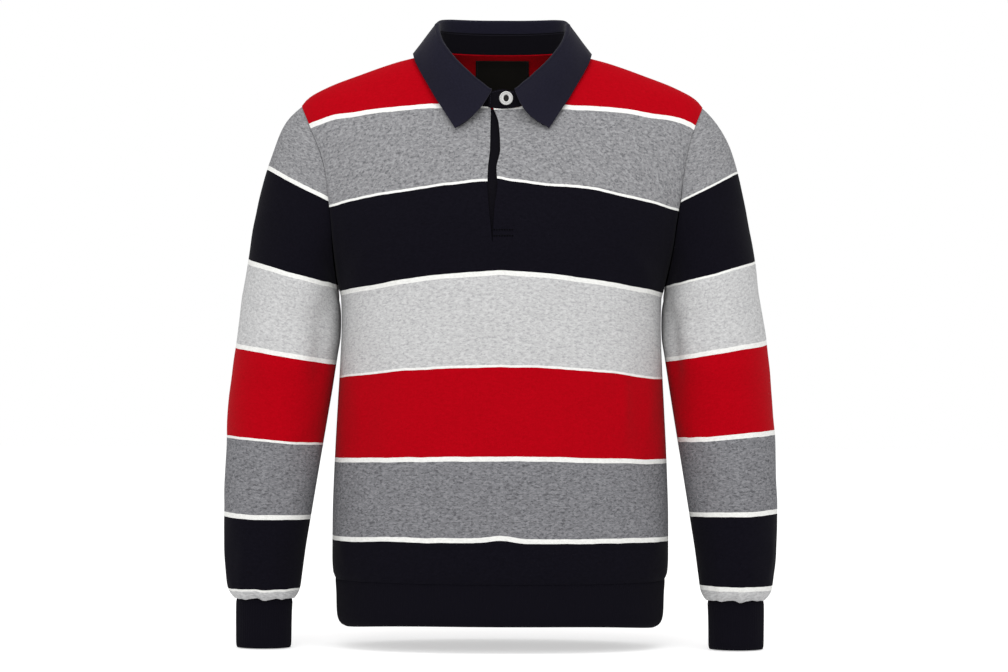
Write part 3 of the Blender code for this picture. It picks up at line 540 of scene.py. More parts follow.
def wall(name, outer, inner, across, course, material, wrap=False, left_out=None, round_it=None):
    """A cloth wall between two grids of points, closed by rims along every open edge.

    across and course, in metres, place the knit on it; round_it is each row's way round a tube.
    """
    rows, columns = outer.shape[:2]
    count = rows * columns
    index = np.arange(count).reshape(rows, columns)
    spots = np.stack([across, course], axis=-1)
    if wrap:
        here, there = index, np.roll(index, -1, axis=1)
        spots_there = np.roll(spots, -1, axis=1)
        spots_there[:, -1, 0] += round_it
        spots_here = spots
    else:
        here, there = index[:, :-1], index[:, 1:]
        spots_here, spots_there = spots[:, :-1], spots[:, 1:]
    quads = np.stack([here[:-1], there[:-1], there[1:], here[1:]], axis=-1)
    corners = np.stack(
        [spots_here[:-1], spots_there[:-1], spots_there[1:], spots_here[1:]], axis=-2
    )
    kept = np.ones(quads.shape[:2], bool) if left_out is None else ~left_out
    quads, corners = quads[kept], corners[kept]
    start = quads.reshape(-1)
    end = np.roll(quads, -1, axis=1).reshape(-1)
    open_edge = ~np.isin(start * count + end, end * count + start)
    a, b = start[open_edge], end[open_edge]
    rims = np.stack([b, a, a + count, b + count], axis=-1)
    flat_spots = spots.reshape(-1, 2)
    rim_corners = np.stack([flat_spots[b], flat_spots[a], flat_spots[a], flat_spots[b]], axis=1)
    faces = np.concatenate([quads, quads[:, ::-1] + count, rims])
    face_spots = np.concatenate([corners, corners[:, ::-1], rim_corners])
    points = np.concatenate([outer.reshape(-1, 3), inner.reshape(-1, 3)])
    if inside_out(points, faces):
        faces, face_spots = faces[:, ::-1], face_spots[:, ::-1]
    used, faces = np.unique(faces, return_inverse=True)
    piece = add_piece(name, points[used], faces.reshape(-1, 4), material, crisp=60)
    layer = piece.data.uv_layers.new(name="cloth")
    layer.data.foreach_set("uv", np.ascontiguousarray(face_spots, np.float32).ravel())
    return piece


def node(material, kind, settings=(), **sockets):
    """A shader node with its settings and the values of its own sockets."""
    made = material.node_tree.nodes.new(f"ShaderNode{kind}")
    for key, value in dict(settings).items():
        setattr(made, key, value)
    for key, value in sockets.items():
        made.inputs[key].default_value = value
    return made


def finish(name, roughness, sheen, specular):
    """A new material and its main shader."""
    material = bpy.data.materials.new(name)
    material.use_nodes = True
    shader = material.node_tree.nodes["Principled BSDF"]
    shader.inputs["Roughness"].default_value = roughness
    shader.inputs["Sheen Weight"].default_value = sheen
    shader.inputs["Sheen Roughness"].default_value = 0.5
    shader.inputs["Specular IOR Level"].default_value = specular
    return material, shader


def moved(material, spots, shift=(0.0, 0.0, 0.0), scale=(1.0, 1.0, 1.0)):
    """Places shifted and scaled."""
    made = node(material, "Mapping")
    made.inputs["Location"].default_value = shift
    made.inputs["Scale"].default_value = scale
    material.node_tree.links.new(spots, made.inputs["Vector"])
    return made.outputs["Vector"]


def cloth_spots(material, across, along):
    """The place on the cloth, counted in threads that long."""
    place = node(material, "UVMap", {"uv_map": "cloth"})
    return moved(material, place.outputs["UV"], scale=(1 / across, 1 / along, 1.0))


def cloth_axes(material):
    """The distance across the cloth and the height up it, in metres."""
    place = node(material, "UVMap", {"uv_map": "cloth"})
    split = node(material, "SeparateXYZ")
    material.node_tree.links.new(place.outputs["UV"], split.inputs["Vector"])
    return split.outputs["X"], split.outputs["Y"]


def noise(material, spots, detail=2.0):
    """Cloudy values between 0 and 1."""
    made = node(material, "TexNoise", Scale=1.0, Detail=detail)
    material.node_tree.links.new(spots, made.inputs["Vector"])
    return made.outputs["Fac"]


def maths(material, operation, first, second=None, third=None):
    """The outcome of one sum on sockets or numbers."""
    made = node(material, "Math", {"operation": operation})
    for socket, value in zip(made.inputs, (first, second, third)):
        if isinstance(value, (int, float)):
            socket.default_value = value
        elif value is not None:
            material.node_tree.links.new(value, socket)
    return made.outputs["Value"]


def clamped(material, value):
    """The same value kept between 0 and 1."""
    made = node(material, "Clamp")
    material.node_tree.links.new(value, made.inputs["Value"])
    return made.outputs["Result"]


def ripples(material, along, pitch):
    """Even waves along one direction of the cloth."""
    return maths(material, "SINE", maths(material, "MULTIPLY", along, 2 * math.pi / pitch))


def raise_cloth(material, shader, height, strength, distance):
    """Fine relief on the face of the cloth."""
    bump = node(material, "Bump", Strength=strength, Distance=distance)
    material.node_tree.links.new(height, bump.inputs["Height"])
    material.node_tree.links.new(bump.outputs["Normal"], shader.inputs["Normal"])


FIBRE_THIN = 0.26  # share of a curl's size that a fibre takes up
# Fibres of the marl: size of a curl across and along the cloth, shift of the pattern
DARK_FIBRES = (0.0046, 0.00253, 0.0)
LIGHT_FIBRES = (0.00529, 0.00276, 3.7)
FIBRE_PATCHES = (0.9, 0.9, 1.0)
PATCH_CONTRAST = 6.0
PATCH_LEVEL = -2.6
# Weights of each unevenness in the flecks
MOTTLE_SHARE = 0.40
GRAIN_SHARE = 0.42
DARK_FIBRE_SHARE = 0.62
LIGHT_FIBRE_SHARE = -0.60
# Sizes of the cloudy patches and of the grain: across the cloth, along it
MOTTLE = (0.0150, 0.0090)
GRAIN = (0.0022, 0.0014)
# The stripes' edges wander: size of the waves, height in all
WANDER_SIZE = 0.045
WANDER = 0.0034
STITCH_WIDTH = 0.0016
STITCH_HEIGHT = 0.0012
COURSE_SHARE = 0.6
FUZZ_SHARE = 1.6


def fibres(material, across, along, seed):
    """Thin curly strokes, 1 on a fibre and 0 off it, that come and go over the cloth."""
    spots = cloth_spots(material, across, along)
    curl = noise(material, moved(material, spots, (seed, seed * 1.7, 0.0)), detail=1.0)
    off = maths(material, "ABSOLUTE", maths(material, "SUBTRACT", curl, 0.5))
    stroke = maths(material, "SUBTRACT", 1.0, maths(material, "DIVIDE", off, FIBRE_THIN / 2))
    patch = noise(material, moved(material, spots, (seed * 2.3, seed, 0.0), FIBRE_PATCHES), detail=1.0)
    shown = maths(material, "MULTIPLY_ADD", patch, PATCH_CONTRAST, PATCH_LEVEL)
    return maths(material, "MULTIPLY", clamped(material, stroke), clamped(material, shown))


def stripe_ramp(material, lines, thick, bands, low, high, shade):
    """The stripes from low to high as one ramp, in the yarn's main shade, 0, or its fleck, 1."""
    white = (WHITE_YARN, WHITE_YARN_FLECK)[shade]
    stops = [(0.0, bands[0][shade])]
    for line, band in zip(lines, bands[1:]):
        stops.append(((line - thick / 2 - low) / (high - low), white))
        stops.append(((line + thick / 2 - low) / (high - low), band[shade]))
    ramp = node(material, "ValToRGB")
    ramp.color_ramp.interpolation = "CONSTANT"
    elements = ramp.color_ramp.elements
    for element, (position, colour) in zip(elements, stops):
        element.position = position
        element.color = (*colour, 1.0)
    for position, colour in stops[2:]:
        elements.new(position).color = (*colour, 1.0)
    return ramp


def jersey_finish(name, lines, thick, bands, low, high):
    """Striped jersey: lines are the white lines' heights from the foot up, bands the cloth between."""
    material, shader = finish(name, roughness=0.95, sheen=0.02, specular=0.01)
    links = material.node_tree.links
    across, up = cloth_axes(material)
    wander = noise(material, cloth_spots(material, WANDER_SIZE, WANDER_SIZE), detail=3.0)
    course = maths(material, "MULTIPLY_ADD", wander, WANDER, up)
    span = high - low
    share = maths(material, "MULTIPLY_ADD", course, 1 / span, -(low + WANDER / 2) / span)
    dark_fibre = fibres(material, *DARK_FIBRES)
    light_fibre = fibres(material, *LIGHT_FIBRES)
    mottle = noise(material, cloth_spots(material, *MOTTLE), detail=3.0)
    grain = noise(material, cloth_spots(material, *GRAIN), detail=2.0)
    fleck = maths(material, "MULTIPLY", mottle, MOTTLE_SHARE)
    for pattern, weight in ((grain, GRAIN_SHARE), (dark_fibre, DARK_FIBRE_SHARE),
                            (light_fibre, LIGHT_FIBRE_SHARE)):
        fleck = maths(material, "MULTIPLY_ADD", pattern, weight, fleck)
    blend = node(material, "Mix", {"data_type": "RGBA"})
    links.new(clamped(material, fleck), blend.inputs["Factor"])
    for shade, socket in enumerate("AB"):
        ramp = stripe_ramp(material, lines, thick, bands, low, high, shade)
        links.new(share, ramp.inputs["Fac"])
        links.new(ramp.outputs["Color"], blend.inputs[socket])
    links.new(blend.outputs["Result"], shader.inputs["Base Color"])
    wales = ripples(material, across, STITCH_WIDTH)
    courses = ripples(material, course, STITCH_HEIGHT)
    knit = maths(material, "ADD", wales, maths(material, "MULTIPLY", courses, COURSE_SHARE))
    fuzz = maths(material, "ADD", grain, light_fibre)
    relief = maths(material, "MULTIPLY_ADD", fuzz, FUZZ_SHARE, knit)
    raise_cloth(material, shader, relief, strength=0.35, distance=0.00012)
    return material


def calm(x, z):
    """1 on the open cloth, falling to 0 at the hem, neck and side seams, which hold it level."""
    open_cloth = ease((z - BODY_HEM_Z) / HEM_CALM) * ease((NECK_CALM_TOP_Z - z) / NECK_CALM)
    return open_cloth * (1 - np.minimum(np.abs(x) / half_width(z), 1.0) ** SIDE_CALM_POWER)


def front_skin(x, z, flap, under=0.0):
    """A point of the front panel's face, or a distance under it; flap is the side that laps over."""
    drop = (SHOULDER_NECK_Z - z) / (SHOULDER_NECK_Z - FRONT_NECK_Z)
    off_neck = ease((np.hypot(x / NECK_HALF_WIDTH, drop) - 1) / NECK_RIM)
    relief = (crease_lift(FRONT_CREASES, x, z) + drift(x, z)) * calm(x, z) * off_neck
    relief += seam_lift(x, z) + hem_puckers(x, z)
    lap = ease(1 - (x - slit_left(z)) / FLAP_REACH) * ease((z - SLIT_FOOT_Z) / FLAP_FADE)
    point = body_point("front", x, z, relief - under)
    point[..., 1] -= np.where(flap, FLAP_LIFT * lap, 0.0)
    return point


SLIT_SLACK = 0.001  # a row this little under the slit's foot still counts as open
# Heights between which the stripes of the body are laid out
BODY_COURSES = (-0.66, 0.06)
body_jersey = jersey_finish("body_jersey", BODY_LINES, WHITE_LINE, BODY_BANDS, *BODY_COURSES)

row = np.arange((ROWS_BELOW_ARMPIT + ROWS_ABOVE_ARMPIT) * FINE + 1)[:, None] / FINE
columns = FRONT_NECK_COLUMNS + SHOULDER_COLUMNS
right_places = np.linspace(columns, 1, (columns - 1) * FINE + 1)[None, :]
left_places = np.linspace(0, columns, columns * FINE + 1)[None, :]
right_x, right_z = panel_spot("front", FRONT_NECK_COLUMNS, -1, right_places, row)
left_x, left_z = panel_spot("front", FRONT_NECK_COLUMNS, 1, left_places, row)
middle_z = left_z[:, :1]
beside_x, beside_z = right_x[:, -1:], right_z[:, -1:]
towards = np.arange(1, SLIT_CELLS + 1)[None, :] / SLIT_CELLS
under_x = beside_x + (slit_right(middle_z) - beside_x) * towards
towards = np.arange(FLAP_CELLS)[None, :] / FLAP_CELLS
over_x = slit_left(middle_z) * (1 - towards)
slit_column = right_x.shape[1] + SLIT_CELLS - 1
inside_x = np.concatenate([under_x, over_x], axis=1)
inside_z = middle_z + (beside_z - middle_z) * inside_x / beside_x
front_x = np.concatenate([right_x, inside_x, left_x], axis=1)
front_z = np.concatenate([right_z, inside_z, left_z], axis=1)
flap = np.arange(front_x.shape[1])[None, :] > slit_column
front_outer = front_skin(front_x, front_z, flap)
front_inner = front_skin(front_x, front_z, flap, under=JERSEY)
open_cells = np.zeros((front_x.shape[0] - 1, front_x.shape[1] - 1), bool)
open_cells[:, slit_column] = front_z[:-1, slit_column] > SLIT_FOOT_Z - SLIT_SLACK
front_course = course_height(front_x, front_z)
for at_z, high, stray, across in FLAP_STRAYS:
    beside_slit = ease(1 - (front_x - slit_left(front_z)) / across)
    at_height = np.exp(-((front_z - at_z) / high) ** 2)
    front_course += np.where(flap, stray * (beside_slit * at_height), 0.0)
front = wall("front_jersey", front_outer, front_inner, arc_length(front_outer, slit_column + 1),
             front_course, body_jersey, left_out=open_cells)
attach(front, "root")
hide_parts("front")

# Back panel
# One whole piece of the same jersey, from a shallow back neck to the hem, with the stripes
# matched to the front's at the side seams.
BACK_CREASES = (
    (0.155, -0.290, 0.155, -0.570, 0.000, 0.024, -0.0036),
    (-0.158, -0.300, -0.158, -0.580, 0.000, 0.024, -0.0034),
    (0.052, -0.330, 0.052, -0.600, 0.000, 0.024, -0.0026),
    (-0.060, -0.350, -0.060, -0.610, 0.000, 0.024, -0.0024),
    (0.188, -0.282, 0.120, -0.225, 0.006, 0.012, 0.0022),
    (-0.188, -0.286, -0.112, -0.235, -0.006, 0.013, 0.0024),
    (0.182, -0.310, 0.095, -0.300, 0.010, 0.014, -0.0018),
    (-0.182, -0.315, -0.090, -0.305, -0.010, 0.013, -0.0019),
    (0.100, -0.360, 0.108, -0.600, 0.006, 0.016, 0.0016),
    (-0.008, -0.380, 0.004, -0.615, -0.005, 0.017, 0.0014),
    (-0.112, -0.370, -0.104, -0.600, 0.005, 0.015, 0.0017),
    (0.188, -0.500, 0.170, -0.620, -0.004, 0.009, 0.0016),
    (-0.189, -0.520, -0.172, -0.622, 0.004, 0.008, 0.0016),
    (-0.070, -0.070, 0.075, -0.074, 0.008, 0.016, 0.0007),
)
BACK_NECK_COLUMNS = 5
BACK_DRIFT_SHIFT = 0.37
BACK_PUCKER_SHIFT = 0.19
columns = BACK_NECK_COLUMNS + SHOULDER_COLUMNS
place = np.linspace(-columns, columns, 2 * columns * FINE + 1)[None, :]
hand = np.where(place < 0, -1.0, 1.0)
back_x, back_z = panel_spot("back", BACK_NECK_COLUMNS, hand, np.abs(place), row)
relief = crease_lift(BACK_CREASES, back_x, back_z) + drift(back_x + BACK_DRIFT_SHIFT, back_z)
relief *= calm(back_x, back_z)
relief += seam_lift(back_x, back_z) + hem_puckers(back_x + BACK_PUCKER_SHIFT, back_z)
back_outer = body_point("back", back_x, back_z, relief)
back_inner = body_point("back", back_x, back_z, relief - JERSEY)
back = wall("back_jersey", back_outer, back_inner, arc_length(back_outer, columns * FINE),
            course_height(back_x, back_z), body_jersey)
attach(back, "root")
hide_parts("back")

# Sleeves
# Each is one piece of jersey, closed by an underarm seam and set into the armhole. Its foot is
# wider than the cuff and is drawn into small uneven gathers over it.
# Sections from the armhole to the cuff: outer edge x, z, inner edge x, z, half depth,
# middle y, share of the armhole's own shape
SLEEVE_SECTIONS = (
    (0.2406, -0.0560, 0.1928, -0.2870, 0.0560, 0.0035, 1.00),
    (0.2600, -0.0790, 0.1936, -0.2915, 0.0595, 0.0030, 0.76),
    (0.2745, -0.1100, 0.1927, -0.2970, 0.0622, 0.0018, 0.55),
    (0.2860, -0.1480, 0.1922, -0.3035, 0.0643, 0.0006, 0.36),
    (0.2950, -0.1910, 0.1920, -0.3110, 0.0658, -0.0008, 0.20),
    (0.3031, -0.2370, 0.1920, -0.3200, 0.0665, -0.0022, 0.09),
    (0.3100, -0.2850, 0.1925, -0.3330, 0.0663, -0.0040, 0.03),
    (0.3165, -0.3320, 0.1958, -0.3550, 0.0652, -0.0062, 0.00),
    (0.3222, -0.3780, 0.2010, -0.3900, 0.0628, -0.0088, 0.00),
    (0.3264, -0.4270, 0.2080, -0.4340, 0.0598, -0.0118, 0.00),
    (0.3288, -0.4800, 0.2160, -0.4830, 0.0570, -0.0155, 0.00),
    (0.3300, -0.5340, 0.2243, -0.5350, 0.0538, -0.0202, 0.00),
    (0.3289, -0.5850, 0.2321, -0.5850, 0.0498, -0.0250, 0.00),
    (0.3266, -0.6140, 0.2359, -0.6140, 0.0462, -0.0280, 0.00),
    (0.3240, -0.6310, 0.2384, -0.6310, 0.0425, -0.0300, 0.00),
    (0.3203, -0.6385, 0.2414, -0.6385, 0.0372, -0.0308, 0.00),
    (0.3157, -0.6438, 0.2452, -0.6438, 0.0305, -0.0312, 0.00),
)
SLEEVE_AROUND = 160
ARMHOLE_CALM = 0.03  # depth under the armhole over which folds die out
INNER_CALM = 0.35  # turn, each side of the underarm seam, over which they die out
SLEEVE_SINK = 1.5 * SEAM_SINK
SLEEVE_SINK_REACH = 2.6 * SEAM_SINK_REACH
# The right sleeve hangs a little further back, down to this height
RIGHT_SLEEVE_BACK = 0.0012
RIGHT_SLEEVE_FOOT_Z = -0.60
RIGHT_SLEEVE_FADE = 0.05
# Creases of a sleeve: start turn in degrees from the outer edge round by the front, start z,
# end turn, end z, bow, half width, height over the cloth
SLEEVE_CREASES = (
    (150, -0.300, 60, -0.262, 0.006, 0.010, 0.0026),
    (158, -0.325, 70, -0.315, 0.008, 0.011, -0.0030),
    (150, -0.352, 40, -0.372, -0.006, 0.012, 0.0020),
    (142, -0.250, 148, -0.430, 0.004, 0.013, -0.0055),
    (112, -0.260, 124, -0.395, 0.004, 0.010, 0.0018),
    (120, -0.395, 20, -0.415, 0.008, 0.014, -0.0014),
    (160, -0.430, 70, -0.470, -0.006, 0.012, 0.0016),
    (150, -0.480, 95, -0.560, 0.006, 0.011, -0.0014),
    (75, -0.545, 60, -0.655, 0.002, 0.009, 0.0013),
    (110, -0.560, 118, -0.655, -0.002, 0.008, 0.0012),
    (25, -0.540, 32, -0.655, 0.002, 0.009, 0.0012),
    (-150, -0.300, -55, -0.270, -0.006, 0.011, 0.0024),
    (-155, -0.335, -60, -0.330, -0.008, 0.012, -0.0020),
    (-160, -0.380, -40, -0.392, 0.008, 0.012, 0.0022),
    (-158, -0.420, -50, -0.410, -0.006, 0.010, -0.0020),
    (-150, -0.450, -60, -0.482, 0.008, 0.012, 0.0016),
    (-100, -0.500, -90, -0.655, 0.002, 0.012, 0.0013),
    (-40, -0.540, -30, -0.655, -0.002, 0.010, 0.0011),
    (85, -0.075, 100, -0.200, 0.004, 0.016, -0.0012),
    (-85, -0.080, -100, -0.220, -0.004, 0.018, -0.0012),
)
SLEEVE_RADIUS = 0.056
SLEEVE_DRIFT = 0.8
# How the two sleeves differ: turn and height of the creases, shift of the unevenness
CREASE_TURN = 7
CREASE_SHARE = 0.12
DRIFT_SHIFT = 0.2
# Slope of the stripes, height lost towards the body for each metre: height, slope
STRIPE_SLOPE = (
    (-0.6300, 0.000),
    (-0.5470, 0.028),
    (-0.4560, 0.078),
    (-0.3550, 0.165),
    (-0.2600, 0.270),
    (-0.1550, 0.520),
    (-0.0600, 0.620),
)
STRIPE_MIDDLE_X = 0.25
SLEEVE_WHITE_LINE = 0.0045
SLEEVE_LINES = {
    "left": (-0.6310, -0.5423, -0.4522, -0.3519, -0.2600, -0.1535),
    "right": (-0.6345, -0.5479, -0.4598, -0.3563, -0.2620, -0.1488),
}
SLEEVE_BANDS = (
    (PALE_GREY, PALE_GREY_FLECK),
    (NAVY, NAVY_FLECK),
    (DEEP_GREY, DEEP_GREY_FLECK),
    (RED, RED_FLECK),
    (PALE_GREY, PALE_GREY_FLECK),
    (NAVY, NAVY_FLECK),
    (MID_GREY, MID_GREY_FLECK),
)
# Heights between which they are laid out
SLEEVE_COURSES = (-0.70, 0.0)
# Gathers at the wrist: waves round the sleeve, phase, height
GATHERS = (
    (8, 0.3, 0.0007),
    (11, 1.7, 0.0005),
    (5, 4.0, 0.0004),
    (19, 2.2, 0.0003),
)
GATHER_TOP_Z = -0.600
GATHER_POWER = 1.3
GATHER_SHARE = 0.9
GATHER_CALM = 0.7
EDGE_GATHER = 0.3  # share of the gathers at the wrist's two edges
HANG_FROM = 0.72
SCALLOP = 0.0006
stripe_slope = smooth(STRIPE_SLOPE, 1)


def length_down(grid):
    """Distance down each column of a grid from its first row."""
    steps = np.linalg.norm(np.diff(grid, axis=0), axis=2)
    return np.concatenate([np.zeros((1, grid.shape[1])), np.cumsum(steps, axis=0)])


def grid_normals(grid, wrap):
    """Directions square to a grid of points."""
    if wrap:
        along = np.roll(grid, -1, axis=1) - np.roll(grid, 1, axis=1)
    else:
        along = np.gradient(grid, axis=1)
    return unit(np.cross(along, np.gradient(grid, axis=0)))


def sleeve_grid(hand, turn):
    """Rings of the sleeve's plain form, on the wearer's left, from the armhole down."""
    steps = np.arange(len(SLEEVE_SECTIONS), dtype=float)
    fine = np.arange((len(SLEEVE_SECTIONS) - 1) * FINE + 1)[:, None] / FINE
    table = [(step, *section) for step, section in zip(steps, SLEEVE_SECTIONS)]
    x_out, z_out, x_in, z_in, deep, y, share = (smooth(table, i)(fine) for i in range(1, 8))

    def section(x_out, z_out, x_in, z_in, deep, y):
        along = np.cos(turn) / 2
        return np.stack([(x_out + x_in) / 2 + (x_out - x_in) * along,
                         y - deep * np.sin(turn),
                         (z_out + z_in) / 2 + (z_out - z_in) * along], axis=-1)

    z = (SHOULDER_TIP_Z + ARMPIT_Z) / 2 + (SHOULDER_TIP_Z - ARMPIT_Z) / 2 * np.cos(turn)
    x = armhole_x(z, hand)
    seam = np.where((turn >= 0)[..., None], body_point("front", x, z), body_point("back", x, z))
    seam[..., 0] += SEAM_GAP
    plain = section(x_out, z_out, x_in, z_in, deep, y)
    plain += (seam - section(*SLEEVE_SECTIONS[0][:6])) * share[..., None]
    if hand < 0:
        above_foot = ease((plain[..., 2] - RIGHT_SLEEVE_FOOT_Z) / RIGHT_SLEEVE_FADE)
        plain[..., 1] += RIGHT_SLEEVE_BACK * (1 - share) * above_foot
    return plain


def gather_wave(turn, hand):
    """Uneven waves round the wrist, calmer at its two edges."""
    waves = sum(high * np.cos(count * turn + phase + hand) for count, phase, high in GATHERS)
    return waves * (EDGE_GATHER + (1 - EDGE_GATHER) * np.abs(np.sin(turn)))


def sleeve_creases(hand):
    """The creases by distance round the sleeve, a little different on the two sides."""
    for start, start_z, end, end_z, bow, wide, high in SLEEVE_CREASES:
        start, end = (SLEEVE_RADIUS * math.radians(turn + CREASE_TURN * hand) for turn in (start, end))
        yield start, start_z, end, end_z, bow, wide, high * (1 + CREASE_SHARE * hand)


turn = (-math.pi + 2 * math.pi * np.arange(SLEEVE_AROUND) / SLEEVE_AROUND)[None, :]
for side, hand in (("left", 1), ("right", -1)):
    plain = sleeve_grid(hand, turn)
    normals = grid_normals(plain, wrap=True)
    if normals[len(plain) // 2, SLEEVE_AROUND // 2, 0] < 0:
        normals = -normals
    around, height = SLEEVE_RADIUS * turn, plain[..., 2]
    down = length_down(plain)
    gathered = ease((GATHER_TOP_Z - height) / (GATHER_TOP_Z - SLEEVE_SECTIONS[-1][1])) ** GATHER_POWER
    wave = gather_wave(turn, hand)
    relief = crease_lift(sleeve_creases(hand), around, height)
    relief += SLEEVE_DRIFT * drift(around + DRIFT_SHIFT * hand, height)
    relief *= ease(down / ARMHOLE_CALM) * (1 - GATHER_CALM * gathered)
    relief *= ease((math.pi - np.abs(turn)) / INNER_CALM)
    relief -= SLEEVE_SINK * np.exp(-down / SLEEVE_SINK_REACH)
    relief += GATHER_SHARE * gathered * wave
    outer = plain + normals * relief[..., None]
    inner = plain + normals * (relief - JERSEY)[..., None]
    hang = ease((gathered - HANG_FROM) / (1 - HANG_FROM))
    for skin in (outer, inner):
        skin[..., 2] -= SCALLOP * hang * wave / sum(high for _, _, high in GATHERS)
        skin[..., 0] *= hand
    course = height - stripe_slope(height) * (plain[..., 0] - STRIPE_MIDDLE_X)
    material = jersey_finish(f"{side}_sleeve_jersey", SLEEVE_LINES[side], SLEEVE_WHITE_LINE,
                             SLEEVE_BANDS, *SLEEVE_COURSES)
    sleeve = wall(f"{side}_sleeve", outer, inner, arc_length(plain, SLEEVE_AROUND // 2), course,
                  material, wrap=True, round_it=round_length(plain))
    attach(sleeve, "root")
    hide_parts(f"sleeve_{side}")

# Cuffs
# Each is a tube of fine double rib in navy, folded at its lower edge and sewn to the gathered
# sleeve along its top.
RIB = 0.0020
# Rings of a cuff: height, outer edge x, inner edge x, half depth, middle y
CUFF_SECTIONS = (
    (-0.6440, 0.3132, 0.2480, 0.0277, -0.0311),
    (-0.6490, 0.3142, 0.2470, 0.0286, -0.0314),
    (-0.6600, 0.3143, 0.2475, 0.0282, -0.0320),
    (-0.6810, 0.3141, 0.2479, 0.0279, -0.0328),
    (-0.6980, 0.3138, 0.2481, 0.0276, -0.0333),
    (-0.7020, 0.3128, 0.2491, 0.0266, -0.0334),
)
CUFF_RIBS = 64
RIB_COLUMNS = 6  # columns for each rib
RIB_HEIGHT = 0.00018
INNER_RIB = 0.3  # height of the ribs inside, as a share
CUFF_ROWS = 24
RIB_NAVY = (0.0044, 0.0040, 0.0066)
RIB_NAVY_FLECK = (0.0034, 0.0031, 0.0052)


def two_shades(material, shader, share, colour, fleck_colour):
    """Dye that wavers between two close shades."""
    blend = node(material, "Mix", {"data_type": "RGBA"})
    blend.inputs["A"].default_value = (*colour, 1.0)
    blend.inputs["B"].default_value = (*fleck_colour, 1.0)
    material.node_tree.links.new(share, blend.inputs["Factor"])
    material.node_tree.links.new(blend.outputs["Result"], shader.inputs["Base Color"])


def rib_finish(name, colour, fleck_colour):
    """Plain dyed rib with a fine knit."""
    material, shader = finish(name, roughness=0.95, sheen=0.02, specular=0.01)
    lying = noise(material, cloth_spots(material, 0.0013, 0.0052), detail=3.0)
    two_shades(material, shader, lying, colour, fleck_colour)
    courses = ripples(material, cloth_axes(material)[1], STITCH_HEIGHT)
    knit = maths(material, "ADD", courses, lying)
    raise_cloth(material, shader, knit, strength=0.4, distance=0.0001)
    return material


navy_rib = rib_finish("navy_rib", RIB_NAVY, RIB_NAVY_FLECK)
for side, hand in (("left", 1), ("right", -1)):
    z = np.linspace(CUFF_SECTIONS[-1][0], CUFF_SECTIONS[0][0], CUFF_ROWS)[:, None]
    x_out, x_in, deep, middle_y = (smooth(CUFF_SECTIONS, i)(z) for i in (1, 2, 3, 4))
    around = CUFF_RIBS * RIB_COLUMNS
    turn = (2 * math.pi * np.arange(around) / around)[None, :]
    ribs = RIB_HEIGHT * np.cos(CUFF_RIBS * turn) - RIB_HEIGHT
    skins = []
    for off in (ribs, ribs * INNER_RIB - RIB):
        x = (x_out + x_in) / 2 + ((x_out - x_in) / 2 + off) * np.cos(turn)
        y = middle_y - (deep + off) * np.sin(turn)
        skins.append(np.stack([hand * x, y, z + 0 * x], axis=-1))
    cuff = wall(f"{side}_cuff", *skins, arc_length(skins[0], 0), skins[0][..., 2], navy_rib,
                wrap=True, round_it=round_length(skins[0]))
    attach(cuff, "root")
    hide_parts(f"cuff_{side}")

# Hem band
# One tube of the same navy rib round the foot of both panels, folded at its lower edge and sewn
# on slightly stretched, so that it draws them in.
# Levels of the band, its outer surface: height, half width, reach forward, reach back
BAND_LEVELS = (
    (-0.6205, 0.1968, 0.1138, 0.1068),
    (-0.6226, 0.1974, 0.1144, 0.1074),
    (-0.6380, 0.1965, 0.1135, 0.1065),
    (-0.6545, 0.1960, 0.1131, 0.1061),
    (-0.6620, 0.1951, 0.1126, 0.1056),
    (-0.6665, 0.1932, 0.1120, 0.1050),
    (-0.6695, 0.1902, 0.1108, 0.1038),
    (-0.6714, 0.1855, 0.1092, 0.1022),
)
BAND_DROP = 0.0070  # how much lower its foot hangs at the sides
BAND_RIBS = 320
BAND_RIB_COLUMNS = 4
BAND_ROWS = 18
BAND_CROWDING = 1.3
band_top, band_foot = BAND_LEVELS[0][0], BAND_LEVELS[-1][0]
share = np.linspace(1.0, 0.0, BAND_ROWS)[:, None] ** BAND_CROWDING
z = band_top + (band_foot - band_top) * (1 - (1 - share) ** BAND_CROWDING)
down = (band_top - z) / (band_top - band_foot)
width, forward, backward = (smooth(BAND_LEVELS, i)(z) for i in (1, 2, 3))
around = BAND_RIBS * BAND_RIB_COLUMNS
turn = (2 * math.pi * np.arange(around) / around - math.pi)[None, :]
ribs = RIB_HEIGHT * np.cos(BAND_RIBS * turn) - RIB_HEIGHT
skins = []
power = 2 / SQUARENESS
for off in (ribs, ribs * INNER_RIB - RIB):
    across, along = np.sin(turn), np.cos(turn)
    deep = np.where(along >= 0, forward, backward) + off
    skins.append(np.stack([np.copysign((width + off) * np.abs(across) ** power, across),
                           -np.copysign(deep * np.abs(along) ** power, along),
                           z - BAND_DROP * down ** 2 * np.abs(across) ** (4 * power)], axis=-1))
hem = wall("hem_rib", *skins, arc_length(skins[0], around // 2), skins[0][..., 2], navy_rib,
           wrap=True, round_it=round_length(skins[0]))
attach(hem, "root")
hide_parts("hem_band")

# Placket strip
# A strip of the collar's navy twill, folded double and sewn behind the slit, so that the closed
# placket shows only cloth.
FACING = 0.0012
STRIP_EDGES = (-0.0290, 0.0130)
STRIP_FOOT_Z = -0.2270
# Painted shade: a darker copy of the collar's navy twill, used for the strip and the stand where they
# lie in shadow.
SHADE_PAINTED_NAVY = (0.0040, 0.0036, 0.0054)
SHADE_PAINTED_NAVY_FLECK = (0.0029, 0.0026, 0.0040)
TWILL_PITCH = 0.0011
STRIP_COLUMNS = 22
STRIP_ROWS = 60


